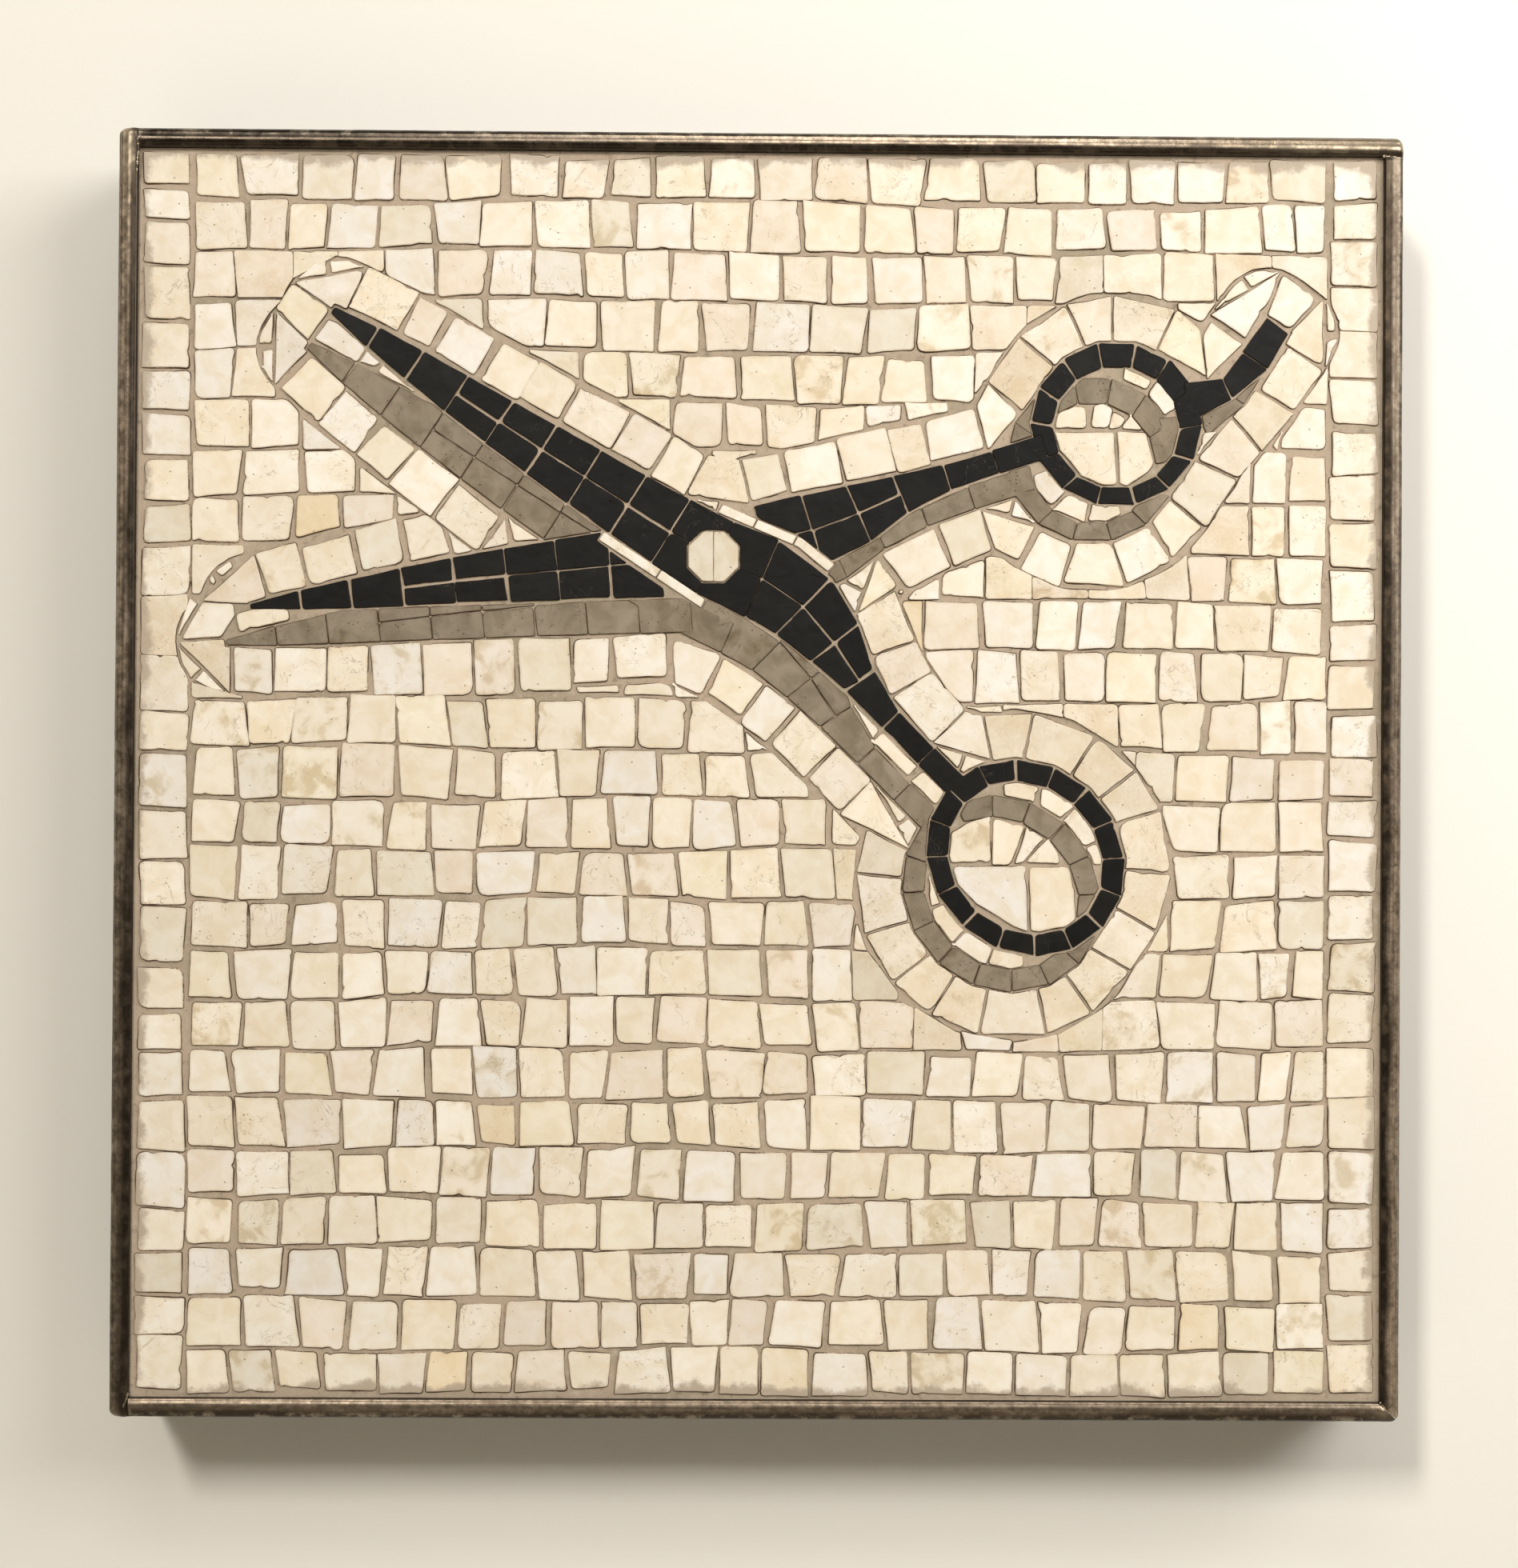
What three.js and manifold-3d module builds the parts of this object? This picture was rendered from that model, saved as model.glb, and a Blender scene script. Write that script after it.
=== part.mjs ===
// A square wall panel: a hand-cut stone mosaic of a pair of open scissors with their cast shadow,
// set in a welded frame of flat steel bar. Millimetres, X right as seen from the front, Y back into
// the wall, Z up. The origin is on the back face of the top bar, halfway along it.
import * as THREE from "three";
import { mergeVertices } from "three/addons/utils/BufferGeometryUtils.js";
import Module from "manifold-3d";

// Frame
const ROWS = 25; // rows of ground tiles
const ROW_PITCH = 10; // from one row to the next
const BAR_THICK = 4; // flat bar, seen from the front
const BAR_DEPTH = 30; // flat bar, from the wall to the front
const CORNER_R = 1.6; // ground outer corners
const ARRIS_R = 0.7; // worn front arrises
const WELD_GAP = 0.3; // between two bars at a corner

// Layers behind the front edge of the bars
const PROUD = 1.2; // bars in front of the tile faces
const TILE_DEPTH = 8; // ground tiles with their grout
const PICTURE_DEPTH = 3; // black tiles
const SHADOW_DEPTH = 6; // shadow tiles with their grout
const BED_DEPTH = 5; // mortar
const BOARD_DEPTH = 8; // backing board
const BOARD_CLEAR = 0.3; // round the board
const GROUT_DEPTH = 0.45; // grout behind the tile faces
const FACE_STEP = 0.06; // from one level of tile faces to the next, so that no two neighbours are level
const SEAT = 0.3; // round each inlaid group

// Tile laying
const JOINT = 0.5; // open joint between two runs of tiles
const EDGE_JOINT = 1.1; // grout along the bars
const BORDER = 10.8; // border columns, grout included
const TILE_MIN = 7.8; // narrowest tile in a row
const TILE_MAX = 12; // widest tile in a row
const SLANT = 0.55; // side joints off the upright
const WAVE = 0.5; // rows off the straight
const HALO_DEPTH = 9; // outline course
const HALO_TILE = 9.6; // tile length in the outline course
const FILLER_GROW = 1.3; // slips between scissors and shadow, wider than the blades on each side
const LEAST_AREA = 12; // smaller cuttings are left as grout
const LEAST_WIDTH = 1.3; // thinner cuttings are left as grout

// Scissors, measured from the pivot
const PIVOT = new THREE.Vector2(-9.4, 43.7);
const PIVOT_R = 5.5;
const HEEL_WIDTH = 16; // both blades at the pivot
const OVER_LENGTH = 92.9; // over blade, pivot to tip
const OVER_ANGLE = 147.3; // degrees from the right
const OVER_TAPER = 0.57; // power of the width along the blade
const UNDER_LENGTH = 95.2;
const UNDER_ANGLE = 186.6;
const UNDER_TAPER = 0.66;
const BLADE_BOW = 0.8; // middle of a blade off its chord
const TIP_SHARE = 0.02; // blunt end of a blade, share of its length
const OVER_SHANK = [[14.7, -6.9, 16.8], [24.3, -16.9, 12.4], [32.4, -28.8, 5.6]];
const UNDER_SHANK = [[12, 3.2, 15.6], [25.1, 7.3, 14], [39.5, 13.6, 7.4], [50, 17.3, 5.2]];
const MEET_SHARE = 0.4; // how far into a ring band a shank runs, share of the band
const SHANK_WIDTH = 4.8; // both shanks where they meet their rings
const OVER_RING = { x: 63, y: -60, long: 21, wide: 18.9, turn: -42, band: 4.5, shift: 0, tiles: 16 };
const UNDER_RING = { x: 80.8, y: 27.3, long: 17.3, wide: 16.7, turn: 0, band: 4.5, shift: -0.8, tiles: 14 };
const REST = [[103.4, 34.6, 4.6], [105.8, 36.4, 6.1], [113.4, 47.4, 5.6]];
const REST_ROOT = 7.5; // finger rest where it leaves its ring
const BLADE_TILE = 10.4; // tile length along the blades
const REST_TILE = 8.3; // tile length along the finger rest
const TWO_ROWS_OVER = 8.2; // wider parts are laid in two rows
const SLIP_WIDTH = 1.9; // white slips beside the over blade
const SLIP_LENGTH = 23.5;
const SLIP_FINE = 8; // fine steps in each quarter of a slip
const LOWER_SLIP_START = 21; // from the pivot towards the tip
const UPPER_SLIP_START = 3.5;
const SHADOW_OFFSET = new THREE.Vector2(-4.8, -7.2);

const FIELD = ROWS * ROW_PITCH;
const HALF = FIELD / 2;
const OUTER = HALF + BAR_THICK;
const FACE = -BAR_DEPTH + PROUD;
const GROUT = FACE + GROUT_DEPTH;
const BED_FRONT = FACE + TILE_DEPTH;
const BOARD_FRONT = BED_FRONT + BED_DEPTH;
const CENTRE_Z = BAR_THICK / 2 - OUTER;

const wasm = await Module();
wasm.setup();

// Seeded random numbers between 0 and 1
function seeded(seed) {
  let state = seed;
  return () => {
    state = (state + 0x6d2b79f5) | 0;
    let t = Math.imul(state ^ (state >>> 15), 1 | state);
    t = (t + Math.imul(t ^ (t >>> 7), 61 | t)) ^ t;
    return ((t ^ (t >>> 14)) >>> 0) / 4294967296;
  };
}
const random = seeded(5);
const between = (low, high) => low + (high - low) * random();

// Solids
function solid(geometry) {
  geometry.deleteAttribute("normal");
  geometry.deleteAttribute("uv");
  const merged = mergeVertices(geometry, 1e-4);
  const vertProperties = new Float32Array(merged.attributes.position.array);
  const triVerts = new Uint32Array(merged.index.array);
  return new wasm.Manifold(new wasm.Mesh({ numProp: 3, vertProperties, triVerts }));
}

// Corners shared by two pieces come out as exactly the same point
const GRID = 1 / 64;
const snapped = (p) => new THREE.Vector2(Math.round(p.x / GRID) * GRID, Math.round(p.y / GRID) * GRID);

// A flat outline in the plane of the panel, from its back at y0 to its front at y1
function prism(outline, y0, y1, hole) {
  const shape = new THREE.Shape(outline.map(snapped));
  if (hole) {
    shape.holes.push(new THREE.Path(hole.map(snapped)));
  }
  const geometry = new THREE.ExtrudeGeometry(shape, { depth: y0 - y1, bevelEnabled: false });
  geometry.rotateX(Math.PI / 2);
  geometry.translate(0, y0, CENTRE_Z);
  return solid(geometry);
}

function join(solids) {
  let level = solids;
  while (level.length > 1) {
    const next = [];
    for (let i = 0; i < level.length; i += 2) {
      next.push(i + 1 < level.length ? level[i].add(level[i + 1]) : level[i]);
    }
    level = next;
  }
  return level[0];
}

const group = new THREE.Group();
function place(name, body, color, roughness, metalness = 0) {
  const data = body.getMesh();
  const geometry = new THREE.BufferGeometry();
  geometry.setAttribute("position", new THREE.BufferAttribute(data.vertProperties, 3));
  geometry.setIndex(new THREE.BufferAttribute(data.triVerts, 1));
  const material = new THREE.MeshStandardMaterial({ color, roughness, metalness, flatShading: true });
  const mesh = new THREE.Mesh(geometry, material);
  mesh.name = name;
  group.add(mesh);
}

const box = (x0, z0, x1, z1) => [
  new THREE.Vector2(x0, z0),
  new THREE.Vector2(x1, z0),
  new THREE.Vector2(x1, z1),
  new THREE.Vector2(x0, z1),
];

// Polygons. A convex polygon is a list of points, anticlockwise.
function area(points) {
  return THREE.ShapeUtils.area(points);
}

function girth(points) {
  return points.reduce((sum, p, i) => sum + p.distanceTo(points[(i + 1) % points.length]), 0);
}

// How far a point lies to the left of the line from a to b
function leftOf(p, a, b) {
  const length = a.distanceTo(b) || 1;
  return ((b.x - a.x) * (p.y - a.y) - (b.y - a.y) * (p.x - a.x)) / length;
}

function clip(points, keep) {
  const kept = [];
  points.forEach((p, i) => {
    const q = points[(i + 1) % points.length];
    const dp = keep(p);
    const dq = keep(q);
    if (dp >= 0) {
      kept.push(p);
    }
    if (dp >= 0 !== dq >= 0) {
      kept.push(p.clone().lerp(q, dp / (dp - dq)));
    }
  });
  return kept.filter((p, i) => p.distanceTo(kept[(i + 1) % kept.length]) > 1e-3);
}

const edges = (points) => points.map((a, i) => [a, points[(i + 1) % points.length]]);

function apart(one, two, gap) {
  const clear = (from, other) =>
    edges(from).some(([a, b]) => other.every((p) => leftOf(p, a, b) <= -gap + 1e-6));
  return clear(one, two) || clear(two, one);
}

const useful = (points) =>
  points.length > 2 && area(points) > LEAST_AREA && (2 * area(points)) / girth(points) > LEAST_WIDTH;

// What is left of a tile that another tile is laid over: the largest cutting first
function trim(tile, other, gap) {
  if (tile.length < 3 || apart(tile, other, gap)) {
    return [tile];
  }
  let best = [];
  let line = null;
  for (const [a, b] of edges(other)) {
    const part = clip(tile, (p) => -leftOf(p, a, b) - gap);
    if (part.length > 2 && area(part) > (best.length ? area(best) : 0)) {
      best = part;
      line = [a, b];
    }
  }
  if (!line) {
    return [];
  }
  const rest = clip(tile, (p) => leftOf(p, line[0], line[1]) + gap - JOINT);
  return [best, ...(useful(rest) ? trim(rest, other, gap) : [])].filter(useful);
}

function hull(points) {
  const sorted = [...points].sort((a, b) => a.x - b.x || a.y - b.y);
  const half = (list) => {
    const chain = [];
    for (const p of list) {
      while (chain.length > 1 && leftOf(p, chain.at(-2), chain.at(-1)) <= 1e-6) {
        chain.pop();
      }
      chain.push(p);
    }
    return chain.slice(0, -1);
  };
  return [...half(sorted), ...half(sorted.reverse())];
}

function inside(p, points) {
  return edges(points).reduce((odd, [a, b]) => {
    const crosses = a.y > p.y !== b.y > p.y;
    return crosses && p.x < a.x + ((p.y - a.y) / (b.y - a.y)) * (b.x - a.x) ? !odd : odd;
  }, false);
}

function distance(p, points) {
  const away = Math.min(...edges(points).map(([a, b]) => {
    const t = THREE.MathUtils.clamp(p.clone().sub(a).dot(b.clone().sub(a)) / b.distanceToSquared(a), 0, 1);
    return p.distanceTo(a.clone().lerp(b, t));
  }));
  return inside(p, points) ? -away : away;
}

const centroid = (points) =>
  points.reduce((sum, p) => sum.add(p), new THREE.Vector2()).divideScalar(points.length);
const moved = (points, by, share = 1) => points.map((p) => p.clone().addScaledVector(by, share));

// Runs of tiles. A run is a list of joints, each with a middle, a normal and a width.
function run(stations, tile) {
  const curve = new THREE.CatmullRomCurve3(stations.map(([x, y, w]) => new THREE.Vector3(x, y, w)));
  const count = Math.max(1, Math.round(curve.getLength() / tile));
  return curve.getSpacedPoints(count).map((s, i) => {
    const t = curve.getTangentAt(i / count);
    const normal = new THREE.Vector2(-t.y, t.x).normalize();
    return { middle: new THREE.Vector2(s.x, s.y).add(PIVOT), normal, width: s.z };
  });
}

const rail = (joint, side, grow = 0) =>
  joint.middle.clone().addScaledVector(joint.normal, side * (joint.width / 2 + grow));

// The outline of a run, let out by grow on both sides and past both ends
function outline(joints, grow = 0) {
  const ends = joints.map((joint, i) => {
    const along = new THREE.Vector2(joint.normal.y, -joint.normal.x);
    const past = i === 0 ? -grow : i === joints.length - 1 ? grow : 0;
    return { ...joint, middle: joint.middle.clone().addScaledVector(along, past) };
  });
  const right = ends.map((joint) => rail(joint, -1, grow));
  const left = ends.map((joint) => rail(joint, 1, grow));
  return [...right, ...left.reverse()];
}

// The tiles of a run, each with its level: 0 or 1 in turn, and 2 or 3 in a second row beside it
function tilesOf(joints, twoRows, grow = 0) {
  const tiles = [];
  for (let i = 0; i + 1 < joints.length; i += 1) {
    const [a, b] = [joints[i], joints[i + 1]];
    const [right, left] = [-1, 1].map((side) => [rail(a, side, grow), rail(b, side, grow)]);
    if (a.width + b.width > 2 * twoRows) {
      tiles.push({ points: [...right, b.middle, a.middle], level: i % 2 });
      tiles.push({ points: [a.middle, b.middle, left[1], left[0]], level: 2 + (i % 2) });
    } else {
      tiles.push({ points: [...right, b.middle, left[1], left[0], a.middle], level: i % 2 });
    }
  }
  return tiles;
}

function bladeStations(length, angle, taper, bow) {
  const along = new THREE.Vector2(1, 0).rotateAround(new THREE.Vector2(), THREE.MathUtils.degToRad(angle));
  const across = new THREE.Vector2(-along.y, along.x);
  const shares = [TIP_SHARE, 0.1, 0.25, 0.45, 0.7, 1];
  return shares.map((share) => {
    const p = along.clone().multiplyScalar(length * (1 - share));
    p.addScaledVector(across, bow * Math.sin(Math.PI * share));
    return [p.x, p.y, HEEL_WIDTH * share ** taper];
  });
}

function oval(ring, grow, count, centre = 0) {
  const turn = THREE.MathUtils.degToRad(ring.turn);
  const points = [];
  for (let i = 0; i < count; i += 1) {
    const angle = (2 * Math.PI * i) / count;
    const p = new THREE.Vector2((ring.long + grow) * Math.cos(angle), (ring.wide + grow) * Math.sin(angle));
    p.rotateAround(new THREE.Vector2(), turn);
    points.push(p.add(new THREE.Vector2(ring.x, ring.y + centre)).add(PIVOT));
  }
  return points;
}

function ringTiles(ring, grow = 0) {
  const outer = oval(ring, grow, ring.tiles);
  const inner = oval(ring, -ring.band - grow, ring.tiles, ring.shift);
  return outer.map((p, i) => {
    const j = (i + 1) % ring.tiles;
    return { points: [p, outer[j], inner[j], inner[i]], level: i % 2 };
  });
}

// A group of runs and rings: its tiles, and its whole footprint let out for a seat
function makeGroup(runs, rings) {
  return {
    tiles: (grow = 0) => [
      ...runs.flatMap((joints) => tilesOf(joints, TWO_ROWS_OVER, grow)),
      ...rings.flatMap((ring) => ringTiles(ring, grow)),
    ],
    outlines: (grow = 0) => [
      ...runs.map((joints) => ({ outer: outline(joints, grow) })),
      ...rings.map((ring) => ({
        outer: oval(ring, grow, ring.tiles),
        hole: oval(ring, -ring.band - grow, ring.tiles, ring.shift),
      })),
    ],
  };
}

// The station where a run meets the middle of a ring's band, on the side of another station
function meet(ring, [x, y], width) {
  const toward = new THREE.Vector2(x - ring.x, y - ring.y).normalize();
  const reach = (ring.long + ring.wide) / 2 - ring.band * MEET_SHARE;
  return [ring.x + toward.x * reach, ring.y + toward.y * reach, width];
}

const overBlade = bladeStations(OVER_LENGTH, OVER_ANGLE, OVER_TAPER, BLADE_BOW);
const underBlade = bladeStations(UNDER_LENGTH, UNDER_ANGLE, UNDER_TAPER, -BLADE_BOW);
const overEnd = meet(OVER_RING, OVER_SHANK.at(-1), SHANK_WIDTH);
const underEnd = meet(UNDER_RING, UNDER_SHANK.at(-1), SHANK_WIDTH);
const overStations = [...overBlade, ...OVER_SHANK, overEnd];
const overJoints = run(overStations, BLADE_TILE);
const underJoints = run(underBlade, BLADE_TILE);
const handleJoints = run([underBlade.at(-1), ...UNDER_SHANK, underEnd], BLADE_TILE);
const restJoints = run([meet(UNDER_RING, REST[0], REST_ROOT), ...REST], REST_TILE);

const overGroup = makeGroup([overJoints], [OVER_RING]);
const underBladeGroup = makeGroup([underJoints], []);
const underHandleGroup = makeGroup([handleJoints, restJoints], [UNDER_RING]);
const scissors = [overGroup, underBladeGroup, underHandleGroup];
const none = new THREE.Vector2();

const raised = (tile, floor) => prism(tile.points, floor, FACE + tile.level * FACE_STEP);
function seat(parts, grow, floor, by = none) {
  return join(parts.flatMap((part) => part.outlines(grow)).map(({ outer, hole }) =>
    prism(moved(outer, by), floor, -BAR_DEPTH, hole && moved(hole, by))));
}

// Pivot disc, in two halves
const pivotRing = { x: 0, y: 0, long: PIVOT_R, wide: PIVOT_R, turn: 22.5 };
const pivotOctagon = (grow) => oval(pivotRing, grow, 8);
function pivotHalf(side) {
  return clip(pivotOctagon(0), (p) => side * (p.x - PIVOT.x));
}
const pivotBody = join([
  prism(pivotHalf(-1), FACE + PICTURE_DEPTH, FACE + FACE_STEP),
  prism(pivotHalf(1), FACE + PICTURE_DEPTH, FACE),
]);
const pivotSeat = prism(pivotOctagon(SEAT), FACE + TILE_DEPTH / 2, -BAR_DEPTH);

// White slips on both sides of the over blade, where it crosses the under blade
const slipStep = SLIP_LENGTH / (4 * SLIP_FINE);
const fine = run(overStations, slipStep);
const nearest = fine.reduce((best, joint, i) =>
  joint.middle.distanceTo(PIVOT) < fine[best].middle.distanceTo(PIVOT) ? i : best, 0);
function slip({ side, before }, grow, inward = 0) {
  const start = nearest - Math.round(before / slipStep);
  const width = SLIP_WIDTH + inward;
  const joints = [0, 1, 2, 3, 4].map((i) => fine[start + i * SLIP_FINE]).map((joint) =>
    ({ ...joint, middle: rail(joint, side, SEAT + SLIP_WIDTH - width / 2), width }));
  return outline(joints, grow);
}
const slipSeat = (item, floor) => prism(slip(item, SEAT, 4 * SEAT), floor, -BAR_DEPTH);
const slips = [
  { name: "highlight_slip_lower", side: -1, before: LOWER_SLIP_START },
  { name: "highlight_slip_upper", side: 1, before: UPPER_SLIP_START },
];

// Black groups
const overSeat = seat([overGroup], SEAT, FACE + TILE_DEPTH / 2);
const slipSeats = join(slips.map((item) => slipSeat(item, FACE + TILE_DEPTH / 2)));
const plate = (part, back, by) => join(part.outlines(0).map(({ outer, hole }) =>
  prism(moved(outer, by), back, GROUT, hole && moved(hole, by))));
const faces = (part, by) => join(part.tiles(0).map((tile) =>
  raised({ ...tile, points: moved(tile.points, by) }, GROUT + GROUT_DEPTH)));
const black = (part) => plate(part, FACE + PICTURE_DEPTH, none).add(faces(part, none));
const overBody = black(overGroup).subtract(pivotSeat);
const underBladeBody = black(underBladeGroup).subtract(overSeat).subtract(slipSeats);
const underHandleBody = black(underHandleGroup).subtract(overSeat).subtract(slipSeats);

// The seats of the black tiles and slips, sunk into what lies round them
const pictureSeat = join([
  seat(scissors, SEAT, FACE + PICTURE_DEPTH),
  ...slips.map((item) => slipSeat(item, FACE + PICTURE_DEPTH)),
]);

// Cast shadow: one plate of grout and tiles that runs on behind the black tiles
const shadowBody = join(scissors.flatMap((part) => [
  plate(part, FACE + SHADOW_DEPTH, SHADOW_OFFSET),
  faces(part, SHADOW_OFFSET),
])).subtract(pictureSeat);
const shadowSeat = seat(scissors, SEAT, FACE + SHADOW_DEPTH, SHADOW_OFFSET);

// Ground tiles round the picture, laid in order: each is cut round the ones before it
const laid = [];
function lay(points, level) {
  let cuttings = [points];
  for (const tile of laid) {
    cuttings = cuttings.flatMap((cutting) => trim(cutting, tile.points, JOINT));
  }
  cuttings.filter(useful).forEach((cutting) => laid.push({ points: cutting, level }));
}

// Slips of ground between the scissors and their shadow, where the two leave room
const covers = scissors.flatMap((part) => part.tiles(SEAT)).flatMap(({ points }) =>
  [points, moved(points, SHADOW_OFFSET)]);
function showing(points) {
  const middle = centroid(points);
  const spots = points.flatMap((p) => [0.3, 0.6, 0.9].map((share) => middle.clone().lerp(p, share)));
  return spots.filter((p) => !covers.some((cover) => inside(p, cover))).length / spots.length;
}
scissors.flatMap((part) => part.tiles(FILLER_GROW)).forEach((tile) => {
  const points = hull(moved(tile.points, SHADOW_OFFSET, 0.5));
  if (showing(points) > 0.25) {
    lay(points, tile.level);
  }
});

// Ground inside the two rings: a row of three over a row of two
for (const ring of [OVER_RING, UNDER_RING]) {
  const limit = oval(ring, -ring.band / 2, ring.tiles, ring.shift);
  const middle = new THREE.Vector2(ring.x, ring.y).add(PIVOT);
  for (const [row, count] of [[-1, 2], [1, 3]]) {
    for (let i = 0; i < count; i += 1) {
      const x = (share) => middle.x + ring.long * ((2 * share) / count - 1);
      const z0 = middle.y - 1.5;
      const z1 = z0 + row * ring.long;
      let points = hull([
        new THREE.Vector2(x(i), z0 + (row * JOINT) / 2),
        new THREE.Vector2(x(i + 1), z0 + (row * JOINT) / 2),
        new THREE.Vector2(x(i + 1), z1),
        new THREE.Vector2(x(i), z1),
      ]);
      for (const [a, b] of edges(limit)) {
        points = clip(points, (p) => leftOf(p, a, b));
      }
      lay(points, i % 2);
    }
  }
}

// Outline course: a walk at half the course's depth round the scissors and their shadow
const shapes = scissors.flatMap((part) => part.outlines(0)).flatMap(({ outer }) =>
  [outer, moved(outer, SHADOW_OFFSET)]);
const away = (p) => Math.min(...shapes.map((points) => distance(p, points)));
function outward(p) {
  const h = 0.1;
  const at = (x, y) => away(new THREE.Vector2(p.x + x, p.y + y));
  return new THREE.Vector2(at(h, 0) - at(-h, 0), at(0, h) - at(0, -h)).normalize();
}
const walkStep = 0.6;
function walkRound(course) {
  const settle = (p) => {
    for (let i = 0; i < 4; i += 1) {
      p.addScaledVector(outward(p), course - away(p));
    }
    return p;
  };
  const steps = [settle(new THREE.Vector2(-HALF, PIVOT.y - HEEL_WIDTH))];
  for (let i = 0; i < 8000; i += 1) {
    const p = steps.at(-1);
    const n = outward(p);
    steps.push(settle(new THREE.Vector2(p.x - n.y * walkStep, p.y + n.x * walkStep)));
    if (i > 50 && steps.at(-1).distanceTo(steps[0]) < walkStep) {
      break;
    }
  }
  return steps;
}
const walk = walkRound(HALO_DEPTH / 2 + JOINT);
const perStone = HALO_TILE / walkStep;
const stones = 2 * Math.round(walk.length / perStone / 2);
const stops = Array.from({ length: stones }, (_, i) => {
  const index = Math.round(((i + between(-0.14, 0.14)) * walk.length) / stones);
  const p = walk[(index + walk.length) % walk.length];
  return { p, n: outward(p) };
});
stops.forEach((stop, i) => {
  const next = stops[(i + 1) % stones];
  const reach = HALO_DEPTH / 2;
  const corners = [stop, next].flatMap(({ p, n }) => [
    p.clone().addScaledVector(n, -reach),
    p.clone().addScaledVector(n, reach),
  ]);
  lay(hull(corners), i % 2);
});

// Everything inside the outer edge of the outline course, cut out of the straight rows
const courseEdge = walkRound(HALO_DEPTH + 2 * JOINT).filter((_, i) => i % 5 === 0);
const courseArea = prism(courseEdge, GROUT + 2 * GROUT_DEPTH, -BAR_DEPTH);

// A straight run of touching tiles, between the corners along its two sides
function strip(lower, upper) {
  const columns = 2 * (lower.length - 1) - 1;
  const geometry = new THREE.BoxGeometry(1, 1, 1, columns, 1, 1);
  const at = geometry.attributes.position;
  for (let i = 0; i < at.count; i += 1) {
    const column = Math.round((at.getX(i) + 0.5) * columns);
    const corner = snapped((at.getZ(i) > 0 ? upper : lower)[Math.ceil(column / 2)]);
    const face = FACE + (Math.floor(column / 2) % 2) * FACE_STEP;
    at.setXYZ(i, corner.x, at.getY(i) > 0 ? GROUT + GROUT_DEPTH : face, corner.y + CENTRE_Z);
  }
  return solid(geometry);
}

function splits(from, to) {
  const marks = [from];
  while (to - marks.at(-1) > TILE_MAX + TILE_MIN) {
    marks.push(marks.at(-1) + between(TILE_MIN, TILE_MAX));
  }
  if (to - marks.at(-1) > TILE_MAX) {
    marks.push((marks.at(-1) + to) / 2);
  }
  return [...marks, to];
}
const slants = (marks) => marks.map((_, i) => (i && i + 1 < marks.length ? between(-SLANT, SLANT) : 0));

const strips = [];
for (const side of [-1, 1]) {
  const marks = splits(-HALF + EDGE_JOINT, HALF - EDGE_JOINT);
  const lean = slants(marks);
  const outer = marks.map((mark) => new THREE.Vector2(side * (HALF - EDGE_JOINT), mark));
  const inner = marks.map((mark, i) =>
    new THREE.Vector2(side * (HALF - BORDER + JOINT / 2) + between(-0.25, 0.25), mark + lean[i]));
  strips.push(side < 0 ? strip(inner, outer) : strip(outer, inner));
}
const waves = Array.from({ length: ROWS + 1 }, () => [between(0, 6), between(0, 6)]);
function rowLine(row, x) {
  if (row === 0 || row === ROWS) {
    return row === 0 ? -HALF + EDGE_JOINT - JOINT / 2 : HALF - EDGE_JOINT + JOINT / 2;
  }
  const [one, two] = waves[row];
  return -HALF + row * ROW_PITCH + WAVE * (Math.sin(x * 0.045 + one) + 0.5 * Math.sin(x * 0.13 + two));
}
for (let row = 0; row < ROWS; row += 1) {
  const marks = splits(-HALF + BORDER + JOINT, HALF - BORDER - JOINT);
  const lean = slants(marks);
  const corners = (line, side) => marks.map((mark, i) => {
    const x = mark + side * lean[i];
    return new THREE.Vector2(x, rowLine(line, x) - (side * JOINT) / 2);
  });
  strips.push(strip(corners(row, -1), corners(row + 1, 1)));
}

const ground = join([
  prism(box(-HALF, -HALF, HALF, HALF), BED_FRONT, GROUT),
  ...laid.map((tile) => raised(tile, GROUT + GROUT_DEPTH)),
  join(strips).subtract(courseArea),
]);
const groundBody = ground.subtract(shadowSeat).subtract(pictureSeat);

// Steel bars: a section with worn front arrises, cut to length at the corners
function section(thick) {
  const points = [new THREE.Vector2(-thick / 2, 0)];
  for (const side of [-1, 1]) {
    for (let i = 0; i <= 3; i += 1) {
      const angle = (Math.PI / 6) * (side < 0 ? i : 3 - i);
      const x = side * (thick / 2 - ARRIS_R + ARRIS_R * Math.cos(angle));
      points.push(new THREE.Vector2(x, BAR_DEPTH - ARRIS_R + ARRIS_R * Math.sin(angle)));
    }
  }
  points.push(new THREE.Vector2(thick / 2, 0));
  return new THREE.Shape(points.reverse());
}
function bar(turn, region) {
  const geometry = new THREE.ExtrudeGeometry(section(BAR_THICK), { depth: 2 * OUTER, bevelEnabled: false });
  geometry.rotateX(Math.PI);
  geometry.translate(HALF + BAR_THICK / 2, 0, OUTER);
  geometry.rotateY(THREE.MathUtils.degToRad(turn));
  geometry.translate(0, 0, CENTRE_Z);
  return solid(geometry).intersect(prism(region, 0, -BAR_DEPTH)).intersect(whole);
}
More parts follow.
